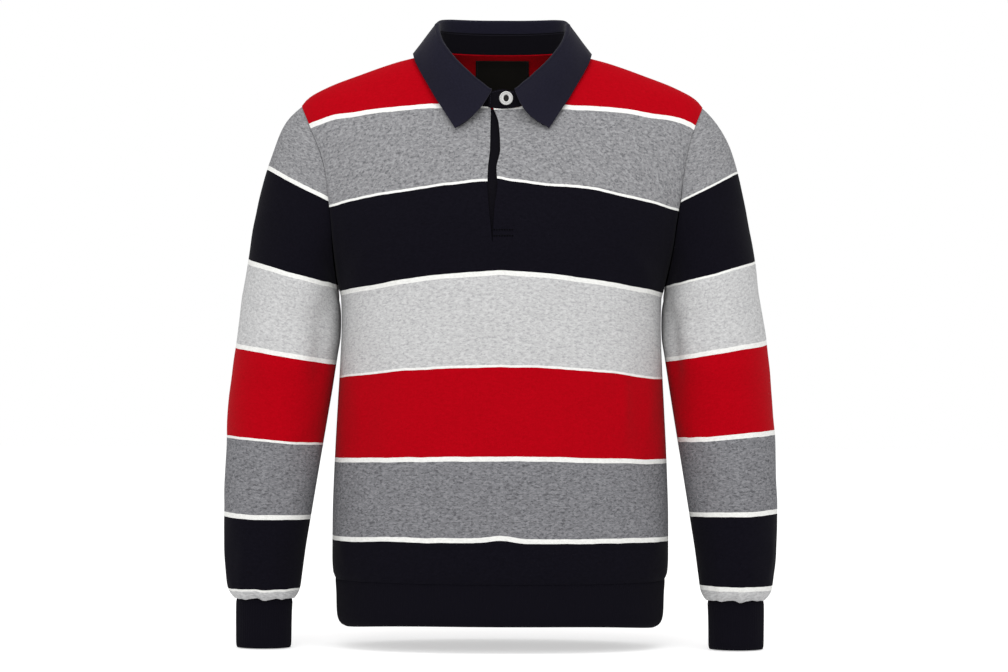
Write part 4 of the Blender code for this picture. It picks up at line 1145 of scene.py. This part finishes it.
def twill_finish(name, colour, fleck_colour, sheen, specular):
    """Woven twill: fine diagonal lines, and slightly uneven dye."""
    material, shader = finish(name, roughness=0.88, sheen=sheen, specular=specular)
    dye = noise(material, cloth_spots(material, 0.003, 0.0015), detail=4.0)
    two_shades(material, shader, dye, colour, fleck_colour)
    slant = maths(material, "ADD", *cloth_axes(material))
    relief = maths(material, "ADD", ripples(material, slant, TWILL_PITCH), dye)
    raise_cloth(material, shader, relief, strength=0.4, distance=0.0001)
    return material


def lining(creases, x, z, shift=0.0):
    """Distance off a panel's plain form of what is sewn inside it, clear of the panel's folds."""
    folds = crease_lift(creases, x, z) + drift(x + shift, z)
    return -JERSEY - 2 * SEAM_GAP + np.minimum(folds, 0.0)


# The same twill as the collar's, drawn darker as painted shade.
shade_painted_twill = twill_finish("shade_painted_twill", SHADE_PAINTED_NAVY, SHADE_PAINTED_NAVY_FLECK, sheen=0.02, specular=0.02)
strip_x = np.linspace(*STRIP_EDGES, STRIP_COLUMNS)[None, :]
strip_top = front_neckline(np.arcsin(np.abs(strip_x) / NECK_HALF_WIDTH))[1]
strip_share = np.linspace(0.0, 1.0, STRIP_ROWS)[:, None]
strip_z = STRIP_FOOT_Z + (strip_top - STRIP_FOOT_Z) * strip_share
strip_x = strip_x + 0 * strip_z
under = lining(FRONT_CREASES, strip_x, strip_z)
# The strip is drawn in the painted-shade twill, for the shadow behind the slit.
strip = wall("placket_strip", body_point("front", strip_x, strip_z, under),
             body_point("front", strip_x, strip_z, under - FACING), strip_x, strip_z, shade_painted_twill)
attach(strip, "root")
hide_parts("under_placket")

# Placket stitches
# Two short rows of machine stitches in navy thread, which close the foot of the slit through the
# flap and the strip behind it.
THREAD = 0.00055
STITCH = 0.0022
STITCH_GAP = 0.0008
THREAD_SIDES = 6
# A stitch from end to end: share of its length, share of its thickness
STITCH_OUTLINE = ((-0.5, 0.25), (-0.4, 0.8), (-0.15, 1.0), (0.15, 1.0), (0.4, 0.8), (0.5, 0.25))
BOX_ROWS_Z = (-0.2079, -0.2149)
BOX_ROW_ENDS = (-0.0094, 0.0162)
BOX_THREAD = 2.4 * THREAD
ROW_POINTS = 30
STITCH_CROWN = 0.3  # how far a stitch's middle stands off the cloth, in thread thicknesses


def solid_cloud(material, scale, detail):
    """Cloudy values through the body of a small piece."""
    place = node(material, "TexCoord")
    cloud = node(material, "TexNoise", Scale=scale, Detail=detail)
    material.node_tree.links.new(place.outputs["Object"], cloud.inputs["Vector"])
    return cloud.outputs["Fac"]


def thread_finish(name, colour):
    """Twisted polyester thread: a dull sheen and a fine slanting twist."""
    material, shader = finish(name, roughness=0.7, sheen=0.0, specular=0.03)
    twist = solid_cloud(material, scale=2600.0, detail=1.0)
    two_shades(material, shader, twist, colour, [0.7 * value for value in colour])
    return material


def at_distance(run, values, at):
    """Values along a row, each given at a distance run, read at other distances."""
    return np.stack([np.interp(at, run, values[:, i]) for i in range(3)], axis=-1)


def stitching(name, rows, material, thread=THREAD):
    """Joined threads: one small rounded stitch at each step along rows of places and directions."""
    angle = 2 * math.pi * np.arange(THREAD_SIDES)[:, None] / THREAD_SIDES
    stitches = []
    for places, outward in rows:
        run = np.concatenate([[0.0], np.cumsum(np.linalg.norm(np.diff(places, axis=0), axis=1))])
        middles = np.arange(STITCH / 2, run[-1] - STITCH / 2, STITCH + STITCH_GAP)
        rings = []
        for share, thick in STITCH_OUTLINE:
            at = middles + share * STITCH
            out = unit(at_distance(run, outward, at))
            ahead = at_distance(run, places, at + STITCH / 2)
            behind = at_distance(run, places, at - STITCH / 2)
            beside = unit(np.cross(ahead - behind, out))
            crown = thread * STITCH_CROWN * (1 - (2 * share) ** 2)
            centre = at_distance(run, places, at) + out * crown
            ring = beside[:, None] * np.cos(angle) + out[:, None] * np.sin(angle)
            rings.append(centre[:, None] + ring * thick * thread / 2)
        stitches.append(np.stack(rings, axis=1))
    points = np.concatenate(stitches)
    index = np.arange(points[..., 0].size).reshape(points.shape[:3])
    beside = np.roll(index, -1, axis=2)
    sides = np.stack([index[:, :-1], beside[:, :-1], beside[:, 1:], index[:, 1:]], axis=-1)
    caps = [index[:, 0, ::-1][:, corners] for corners in ([0, 1, 2, 3], [0, 3, 4, 5])]
    caps += [index[:, -1][:, corners] for corners in ([0, 1, 2, 3], [0, 3, 4, 5])]
    faces = np.concatenate([sides.reshape(-1, 4), *caps])
    points = points.reshape(-1, 3)
    if inside_out(points, faces):
        faces = faces[:, ::-1]
    return add_piece(name, points, faces, material)


# The navy thread is lighter than the navy cloth: partly its own colour, partly a painted highlight for
# the lit edge of the tab.
navy_thread_and_highlight = thread_finish("navy_thread_and_highlight", (0.0230, 0.0220, 0.0320))
black_thread = thread_finish("black_thread", (0.0008, 0.0007, 0.0010))
row_x = np.linspace(*BOX_ROW_ENDS, ROW_POINTS)
box_rows = []
for level in BOX_ROWS_Z:
    row_z = level + 0 * row_x
    outward = normal_at("front", row_x, depth_at("front", row_x, row_z), row_z)
    box_rows.append((front_skin(row_x, row_z, True), outward))
box = stitching("placket_stitches", box_rows, black_thread, thread=BOX_THREAD)
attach(box, "root")

# Collar stand
# A band of navy twill, two layers thick, sewn to the neck edge. Its left end laps over the
# right one and ends in a rounded tab.
TWILL = 0.0018
SHOULDER_STATION = 0.4
STAND_GAP = 0.0001
STAND_OVERLAP = 0.060
STAND_LAP = 0.0016
STAND_LAP_FROM = 0.79
STAND_LAP_RUN = 0.10
STAND_SWELL = 0.0003
STAND_COLUMNS = 200
STAND_ROWS = 14
SEAM_STEP = 0.012
# The tab's end: share by which it gets lower, and how late
TAB_FALL = 0.20
TAB_FALL_POWER = 1.5
# Collar height over its neck seam: place from the back, 0, to the middle of the front, 1;
# stand, crest of the fold
COLLAR_HEIGHTS = (
    (0.00, 0.0252, 0.0412),
    (0.20, 0.0250, 0.0402),
    (0.30, 0.0246, 0.0380),
    (0.40, 0.0236, 0.0322),
    (0.50, 0.0240, 0.0338),
    (0.60, 0.0250, 0.0365),
    (0.70, 0.0250, 0.0385),
    (0.76, 0.0245, 0.0375),
    (0.83, 0.0230, 0.0345),
    (0.89, 0.0210, 0.0290),
    (0.95, 0.0202, 0.0244),
    (1.00, 0.0232, 0.0270),
    (1.06, 0.0222, 0.0275),
)
stand_height = smooth(COLLAR_HEIGHTS, 1)
crest_height = smooth(COLLAR_HEIGHTS, 2)


def neck_seam(place):
    """The neck seam: place runs from 0 at the back to 1 or -1 at the front, and on past it."""
    place = np.where(np.abs(place) > 1, place - np.copysign(2.0, place), place)
    hand, far = np.copysign(1.0, place), np.abs(place)
    back_x, back_z = back_neckline(math.pi / 2 * np.minimum(far / SHOULDER_STATION, 1.0))
    share = np.clip((1 - far) / (1 - SHOULDER_STATION), 0.0, 1.0)
    front_x, front_z = front_neckline(neck_turn(share))
    behind = far < SHOULDER_STATION
    x, z = np.where(behind, back_x, front_x), np.where(behind, back_z, front_z)
    y = np.where(behind, depth_at("back", x, z), -depth_at("front", x, z))
    return np.stack([hand * x, y, z], axis=-1)


def neck_outward(place):
    """Level direction away from the neck at a place on its seam."""
    along = neck_seam(place + SEAM_STEP) - neck_seam(place - SEAM_STEP)
    return unit(np.stack([-along[..., 1], along[..., 0], 0 * along[..., 0]], axis=-1))


def stand_point(place, share, off):
    """A point of the stand: share runs from 0 at the neck seam to 1 at its top."""
    far = np.abs(place)
    past = np.maximum(far - 1.0, 0.0) / STAND_OVERLAP
    high = stand_height(far) * (1 - TAB_FALL * past ** TAB_FALL_POWER)
    lap = STAND_LAP * np.copysign(ease((far - STAND_LAP_FROM) / STAND_LAP_RUN), place)
    up = STAND_GAP + high * share
    point = neck_seam(place) + neck_outward(place) * (lap + off)[..., None]
    point[..., 2] += up
    return point


stand_places = np.linspace(-1 - STAND_OVERLAP, 1 + STAND_OVERLAP, STAND_COLUMNS)[None, :]
stand_shares = np.linspace(0.0, 1.0, STAND_ROWS)[:, None]
swell = STAND_SWELL * np.sin(math.pi * stand_shares) + 0 * stand_places
skins = [stand_point(stand_places, stand_shares, off + swell) for off in (TWILL / 2, -TWILL / 2)]
# The stand is drawn in the painted-shade twill, for the shadow inside the neck and under the tab.
stand = wall("collar_band", *skins, arc_length(skins[0], STAND_COLUMNS // 2), skins[0][..., 2],
             shade_painted_twill)
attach(stand, "root")
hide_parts("collar_stand")

# Band stitches
# Navy polyester thread: one row of stitches just in from the tab's edge, and one inside the neck
# where the leaf is sewn on.
TAB_ROW_FROM = 0.86
TAB_ROW_END = 0.86
TAB_ROW_FOOT = 0.08
TAB_ROW_INSET = 0.0018
TAB_ROW_POINTS = (60, 20)
NECK_ROW_END = 0.72
NECK_ROW_SHARE = 0.93
NECK_ROW_POINTS = 200
tab_places = np.linspace(TAB_ROW_FROM, 1 + TAB_ROW_END * STAND_OVERLAP, TAB_ROW_POINTS[0])
tab_top = 1 - TAB_ROW_INSET / stand_height(tab_places)
end_shares = np.linspace(tab_top[-1], TAB_ROW_FOOT, TAB_ROW_POINTS[1])
tab_places = np.concatenate([tab_places, tab_places[-1] + 0 * end_shares])
tab_shares = np.concatenate([tab_top, end_shares])
tab_off = TWILL / 2 + STAND_SWELL * np.sin(math.pi * tab_shares)
tab_row = stand_point(tab_places, tab_shares, tab_off)
inner_places = np.linspace(-NECK_ROW_END, NECK_ROW_END, NECK_ROW_POINTS)
inner_row = stand_point(inner_places, NECK_ROW_SHARE, -TWILL / 2 + 0 * inner_places)
band_rows = [(tab_row, neck_outward(tab_places)), (inner_row, -neck_outward(inner_places))]
# The tab row's lighter thread paints a highlight along the tab's edge.
band_stitches = stitching("band_stitches", band_rows, navy_thread_and_highlight)
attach(band_stitches, "root")

# Collar leaf
# The fall of the collar, a double layer of the same twill that is turned out at its edges. It
# stands up from the stand, rolls over and lies on the shoulders, with two pointed corners.
# Outer edge: place, distance out, height, distance off the body, swell off a straight fall
LEAF_EDGE = (
    (0.00, 0.0000, -0.0060, 0.0050, 0.0035),
    (0.10, 0.0330, -0.0050, 0.0050, 0.0035),
    (0.20, 0.0640, -0.0020, 0.0050, 0.0030),
    (0.30, 0.0930, 0.0035, 0.0050, 0.0015),
    (0.40, 0.1065, 0.0060, 0.0020, 0.0003),
    (0.50, 0.1040, -0.0045, 0.0040, 0.0015),
    (0.60, 0.0975, -0.0180, 0.0034, 0.0040),
    (0.70, 0.0885, -0.0340, 0.0036, 0.0055),
    (0.80, 0.0775, -0.0535, 0.0036, 0.0060),
    (0.90, 0.0650, -0.0735, 0.0036, 0.0050),
    (0.947, 0.0550, -0.0893, 0.0036, 0.0040),
)
# The leaf's front edges, right and left: place along the collar, and how far each bows inwards
LEAF_ENDS = (0.953, 0.944)
LEAF_END_DIP = 0.0024
LEAF_END_REACH = 0.045
LEAF_FRONT_BOWS = (0.0062, 0.0085)
LEAF_BOW_FROM = 0.74
LEAF_SWELL_FALL = 0.5  # share of the swell that is lost by the outer edge
LEAF_STEP = 0.01
LEAF_ROLL = 0.0024
LEAF_COLUMNS = 241
LEAF_STAND_ROWS = 7
LEAF_ROLL_ROWS = 11
LEAF_FALL_ROWS = 31
# The edges are thicker, where the cloth is turned in: height, reach, and how sharply it ends
LEAF_EDGE_SWELL = 0.00035
LEAF_EDGE_REACH = 0.006
LEAF_EDGE_STEP = 0.0012
COLLAR_NAVY = (0.0100, 0.0093, 0.0186)
COLLAR_NAVY_FLECK = (0.0026, 0.0024, 0.0062)
# Puckers of the stitched edge: how many a metre, phase, height
PUCKERS = (
    (79, 0.5, 0.00065),
    (47, 2.0, 0.00055),
    (131, 4.1, 0.00025),
)
PUCKER_REACH = 0.008
STITCH_INSET = 0.0055
STITCH_GROOVE = 0.0003
STITCH_GROOVE_WIDTH = 0.0011
navy_twill = twill_finish("navy_twill", COLLAR_NAVY, COLLAR_NAVY_FLECK, sheen=0.06, specular=0.05)
leaf_out, leaf_z, leaf_clear, leaf_swell = (smooth(LEAF_EDGE, i) for i in (1, 2, 3, 4))


def leaf_edge_point(place):
    """A point of the leaf's outer edge, which lies just off the body."""
    far, hand = np.abs(place), np.copysign(1.0, place)
    x, z, clear = leaf_out(far), leaf_z(far), leaf_clear(far)
    kept_x = np.minimum(x, half_width(z))
    behind = body_point("back", kept_x, z, clear + TWILL / 2)
    before = body_point("front", kept_x, z, clear + TWILL / 2)
    surface = np.where((far <= SHOULDER_STATION)[..., None], behind, before)
    outside = np.stack([x, 0 * x, z], axis=-1)
    surface = np.where((x >= half_width(z))[..., None], outside, surface)
    surface[..., 0] *= hand
    return surface


places = np.linspace(-LEAF_ENDS[0], LEAF_ENDS[1], LEAF_COLUMNS)
far = np.abs(places)
leaf_end = np.where(places < 0, *LEAF_ENDS)
seam, away = neck_seam(places), neck_outward(places)
up = np.array((0.0, 0.0, 1.0))
base = seam + up * (stand_height(far) + STAND_GAP + SEAM_GAP)[:, None]
start = seam.copy()
dip = LEAF_END_DIP * ease(1 - (leaf_end - far) / LEAF_END_REACH)
start[:, 2] += crest_height(far) - LEAF_ROLL - dip
base[:, 2] = np.minimum(base[:, 2], start[:, 2] - SEAM_GAP)
lines = [base + (start - base) * share for share in np.linspace(0.0, 1.0, LEAF_STAND_ROWS)[:-1]]
for angle in np.linspace(0.0, math.pi, LEAF_ROLL_ROWS):
    rolled = away * LEAF_ROLL * (1 - math.cos(angle))
    lines.append(start + rolled + up * LEAF_ROLL * math.sin(angle))
foot, end = lines[-1], leaf_edge_point(places)
along = neck_seam(places + LEAF_STEP) - neck_seam(places - LEAF_STEP)
out = unit(np.cross(end - foot, along))
out *= np.copysign(1.0, (out * away).sum(axis=1))[:, None]
inward = unit(np.cross(end - foot, out)) * np.copysign(1.0, places)[:, None]
to_front = ease((far - LEAF_BOW_FROM) / (leaf_end - LEAF_BOW_FROM))
bow = np.where(places < 0, *LEAF_FRONT_BOWS) * to_front
for share in np.linspace(0.0, 1.0, LEAF_FALL_ROWS)[1:]:
    fall = math.sin(math.pi * share)
    swell = leaf_swell(far) * fall * (1 - LEAF_SWELL_FALL * share)
    straight = foot + (end - foot) * share
    lines.append(straight + out * swell[:, None] + inward * (bow * fall)[:, None])
leaf_grid = np.stack(lines)
normals = grid_normals(leaf_grid, wrap=False)
if normals[0, len(places) // 2, 1] > 0:
    normals = -normals
down = length_down(leaf_grid)
from_edge = np.minimum(down[-1:] - down, np.abs(arc_length(leaf_grid, 0)))
from_edge = np.minimum(from_edge, np.abs(arc_length(leaf_grid, len(places) - 1)))
half = TWILL / 2
turned_in = 1 - ease((from_edge - LEAF_EDGE_REACH) / LEAF_EDGE_STEP)
width_run = arc_length(leaf_grid, len(places) // 2)
waves = sum(high * np.sin(2 * math.pi * count * (width_run + down) + phase)
            for count, phase, high in PUCKERS)
puckers = waves * np.exp(-from_edge / PUCKER_REACH)
groove = STITCH_GROOVE * np.exp(-((from_edge - STITCH_INSET) / STITCH_GROOVE_WIDTH) ** 2)
lift = half + LEAF_EDGE_SWELL * turned_in + puckers - groove
leaf_face = leaf_grid - normals * lift[..., None]
leaf = wall("collar_fall", leaf_face, leaf_grid + normals * half, width_run, down, navy_twill)
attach(leaf, "root")
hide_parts("collar_leaf")

# Leaf stitches
# One row of stitches in the same navy thread along the leaf's three free edges, a presser foot's
# width in from them.
LEAF_CREST_ROW = LEAF_STAND_ROWS - 1 + LEAF_ROLL_ROWS
LEAF_THREAD = 1.4 * THREAD


def grid_spot(grid, at_row, at_column):
    """Values of a grid between its rows and columns."""
    row0 = np.clip(at_row.astype(int), 0, grid.shape[0] - 2)
    column0 = np.clip(at_column.astype(int), 0, grid.shape[1] - 2)
    up, aside = (at_row - row0)[:, None], (at_column - column0)[:, None]
    lower = grid[row0, column0] * (1 - aside) + grid[row0, column0 + 1] * aside
    upper = grid[row0 + 1, column0] * (1 - aside) + grid[row0 + 1, column0 + 1] * aside
    return lower * (1 - up) + upper * up


every_row, every_column = (np.arange(length, dtype=float) for length in leaf_grid.shape[:2])
to_foot = (down[-1:] - down)[::-1].T
edge_rows = np.array([np.interp(STITCH_INSET, run, every_row[::-1]) for run in to_foot])
from_right = width_run - width_run[:, :1]
from_left = (width_run[:, -1:] - width_run)[:, ::-1]
right_columns = np.array([np.interp(STITCH_INSET, run, every_column) for run in from_right])
left_columns = np.array([np.interp(STITCH_INSET, run, every_column[::-1]) for run in from_left])
corner_row = int(edge_rows[0])
ends_rows = np.arange(LEAF_CREST_ROW, corner_row)
edge_columns = np.arange(math.ceil(right_columns[corner_row]), int(left_columns[corner_row]) + 1)
seam_rows = np.concatenate([ends_rows, edge_rows[edge_columns], ends_rows[::-1]])
seam_columns = np.concatenate([right_columns[ends_rows], edge_columns, left_columns[ends_rows][::-1]])
row_places = grid_spot(leaf_face, seam_rows, seam_columns)
row_outward = -grid_spot(normals, seam_rows, seam_columns)
leaf_stitches = stitching("leaf_stitches", [(row_places, row_outward)], navy_thread_and_highlight, LEAF_THREAD)
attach(leaf_stitches, "root")

# Neck label
# A plain black woven tape, folded under at both ends and sewn inside the back by a row of navy
# stitches at each end, with nothing on it.
LABEL_HALF_WIDTH = 0.0325
LABEL_TOP_Z = 0.0043
LABEL_FOOT_Z = -0.0340
LABEL_THICKNESS = 0.0008
LABEL_COLUMNS = 40
LABEL_ROWS = 22
LABEL_FOLD = 0.0004
LABEL_FOLD_WIDTH = 0.0055
LABEL_FOLD_STEP = 0.001
LABEL_ROW_INSET = 0.0022
LABEL_BLACK = (0.0115, 0.0104, 0.0088)
LABEL_BLACK_FLECK = (0.0085, 0.0078, 0.0066)
label_black = twill_finish("label_black", LABEL_BLACK, LABEL_BLACK_FLECK, sheen=0.02, specular=0.02)
label_x = np.linspace(-LABEL_HALF_WIDTH, LABEL_HALF_WIDTH, LABEL_COLUMNS)[None, :]
label_z = np.linspace(LABEL_FOOT_Z, LABEL_TOP_Z, LABEL_ROWS)[:, None] + 0 * label_x
label_x = label_x + 0 * label_z
inside = lining(BACK_CREASES, label_x, label_z, BACK_DRIFT_SHIFT)
in_fold = np.abs(label_x) - LABEL_HALF_WIDTH + LABEL_FOLD_WIDTH
fold = LABEL_FOLD * ease(in_fold / LABEL_FOLD_STEP)
label = wall("neck_tape_label", body_point("back", label_x, label_z, inside),
             body_point("back", label_x, label_z, inside - LABEL_THICKNESS - fold),
             label_x, label_z, label_black)
label_rows = []
for end in (-1, 1):
    row_z = np.linspace(LABEL_FOOT_Z, LABEL_TOP_Z, LABEL_COLUMNS)
    row_x = end * (LABEL_HALF_WIDTH - LABEL_ROW_INSET) + 0 * row_z
    settled = lining(BACK_CREASES, row_x, row_z, BACK_DRIFT_SHIFT)
    inward = -normal_at("back", row_x, depth_at("back", row_x, row_z), row_z)
    label_face = body_point("back", row_x, row_z, settled - LABEL_THICKNESS - LABEL_FOLD)
    label_rows.append((label_face, inward))
label_stitches = stitching("label_stitches", label_rows, navy_thread_and_highlight)
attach(label_stitches, "root")
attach(label, "root")
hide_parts("neck_label")

# Button
# A soft white ring button with a groove round its face, sewn through its dark middle onto the
# tab of the stand.
BUTTON_RADIUS = 0.0081
BUTTON_HOLE_RADIUS = 0.0031
BUTTON_X = 0.0048
BUTTON_Z = -0.0500
BUTTON_STEPS = 64
# The hole is oval: share by which it is higher than wide, and how far out that dies away
OVAL = 0.3
OVAL_REACH = 0.0024
EYE_RADIUS = BUTTON_HOLE_RADIUS - 0.0003
BUTTON_WHITE = (0.50, 0.50, 0.49)
BUTTON_DARK = (0.0022, 0.0020, 0.0018)
# The stretch of the tab that is searched for the button's seat, and in how many places
SEAT_STRETCH = (0.9, 1.0)
SEAT_PLACES = 200
# Outline of the ring: radius, height off the stand
RING_OUTLINE = (
    (BUTTON_RADIUS - 0.0006, 0.0000),
    (BUTTON_RADIUS - 0.0001, 0.0004),
    (BUTTON_RADIUS, 0.0010),
    (BUTTON_RADIUS, 0.0018),
    (BUTTON_RADIUS - 0.0003, 0.0025),
    (BUTTON_RADIUS - 0.0009, 0.0030),
    (BUTTON_RADIUS - 0.0014, 0.0028),
    (BUTTON_RADIUS - 0.0018, 0.0018),
    (BUTTON_RADIUS - 0.0023, 0.0018),
    (BUTTON_RADIUS - 0.0027, 0.0027),
    (BUTTON_RADIUS - 0.0033, 0.0029),
    (BUTTON_HOLE_RADIUS + 0.0006, 0.0024),
    (BUTTON_HOLE_RADIUS + 0.0001, 0.0019),
    (BUTTON_HOLE_RADIUS, 0.0012),
    (BUTTON_HOLE_RADIUS, 0.0000),
)
# Outline of the dark middle, in the same way
MIDDLE_OUTLINE = (
    (0.00002, 0.0000),
    (EYE_RADIUS, 0.0000),
    (EYE_RADIUS, 0.0008),
    (EYE_RADIUS - 0.0005, 0.0012),
    (0.0014, 0.0014),
    (0.0010, 0.0011),
    (0.00002, 0.0010),
)


def turned(name, outline, seat_y, material):
    """A turned piece: its outline gives radius and height off the stand, facing forward."""
    angle = 2 * math.pi * np.arange(BUTTON_STEPS)[:, None] / BUTTON_STEPS
    radius, height = (np.array([point[i] for point in outline])[None, :] for i in (0, 1))
    taller = 1 + OVAL * (1 - ease((radius - BUTTON_HOLE_RADIUS) / OVAL_REACH))
    points = np.stack([BUTTON_X + radius * np.cos(angle), seat_y - height + 0 * angle,
                       BUTTON_Z + radius * taller * np.sin(angle)], axis=-1)
    index = np.arange(BUTTON_STEPS * len(outline)).reshape(BUTTON_STEPS, -1)
    beside, after = np.roll(index, -1, axis=1), np.roll(index, -1, axis=0)
    faces = np.stack([index, beside, np.roll(after, -1, axis=1), after], axis=-1)
    return add_piece(name, points.reshape(-1, 3), faces.reshape(-1, 4), material, crisp=50)


def plastic_finish(name, colour, roughness):
    """Moulded button stock with a faint cloudiness."""
    material, shader = finish(name, roughness=roughness, sheen=0.0, specular=0.4)
    cloud = solid_cloud(material, scale=700.0, detail=2.0)
    two_shades(material, shader, cloud, colour, [0.86 * value for value in colour])
    raise_cloth(material, shader, cloud, strength=0.2, distance=0.00005)
    return material


seat_places = np.linspace(*SEAT_STRETCH, SEAT_PLACES)
tab_face = stand_point(seat_places, 0.5, TWILL / 2 + 0 * seat_places)
seat = tab_face[np.abs(tab_face[:, 0] - BUTTON_X).argmin()]
seat_y = seat[1] - 2 * SEAM_GAP
white_plastic = plastic_finish("button_white", BUTTON_WHITE, roughness=0.45)
dark_plastic = plastic_finish("button_dark", BUTTON_DARK, roughness=0.9)
ring = turned("button_ring", RING_OUTLINE, seat_y, white_plastic)
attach(ring, "root")
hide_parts("collar_button")
eye = turned("button_eye", MIDDLE_OUTLINE, seat_y, dark_plastic)
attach(eye, "root")
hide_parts("button_middle")
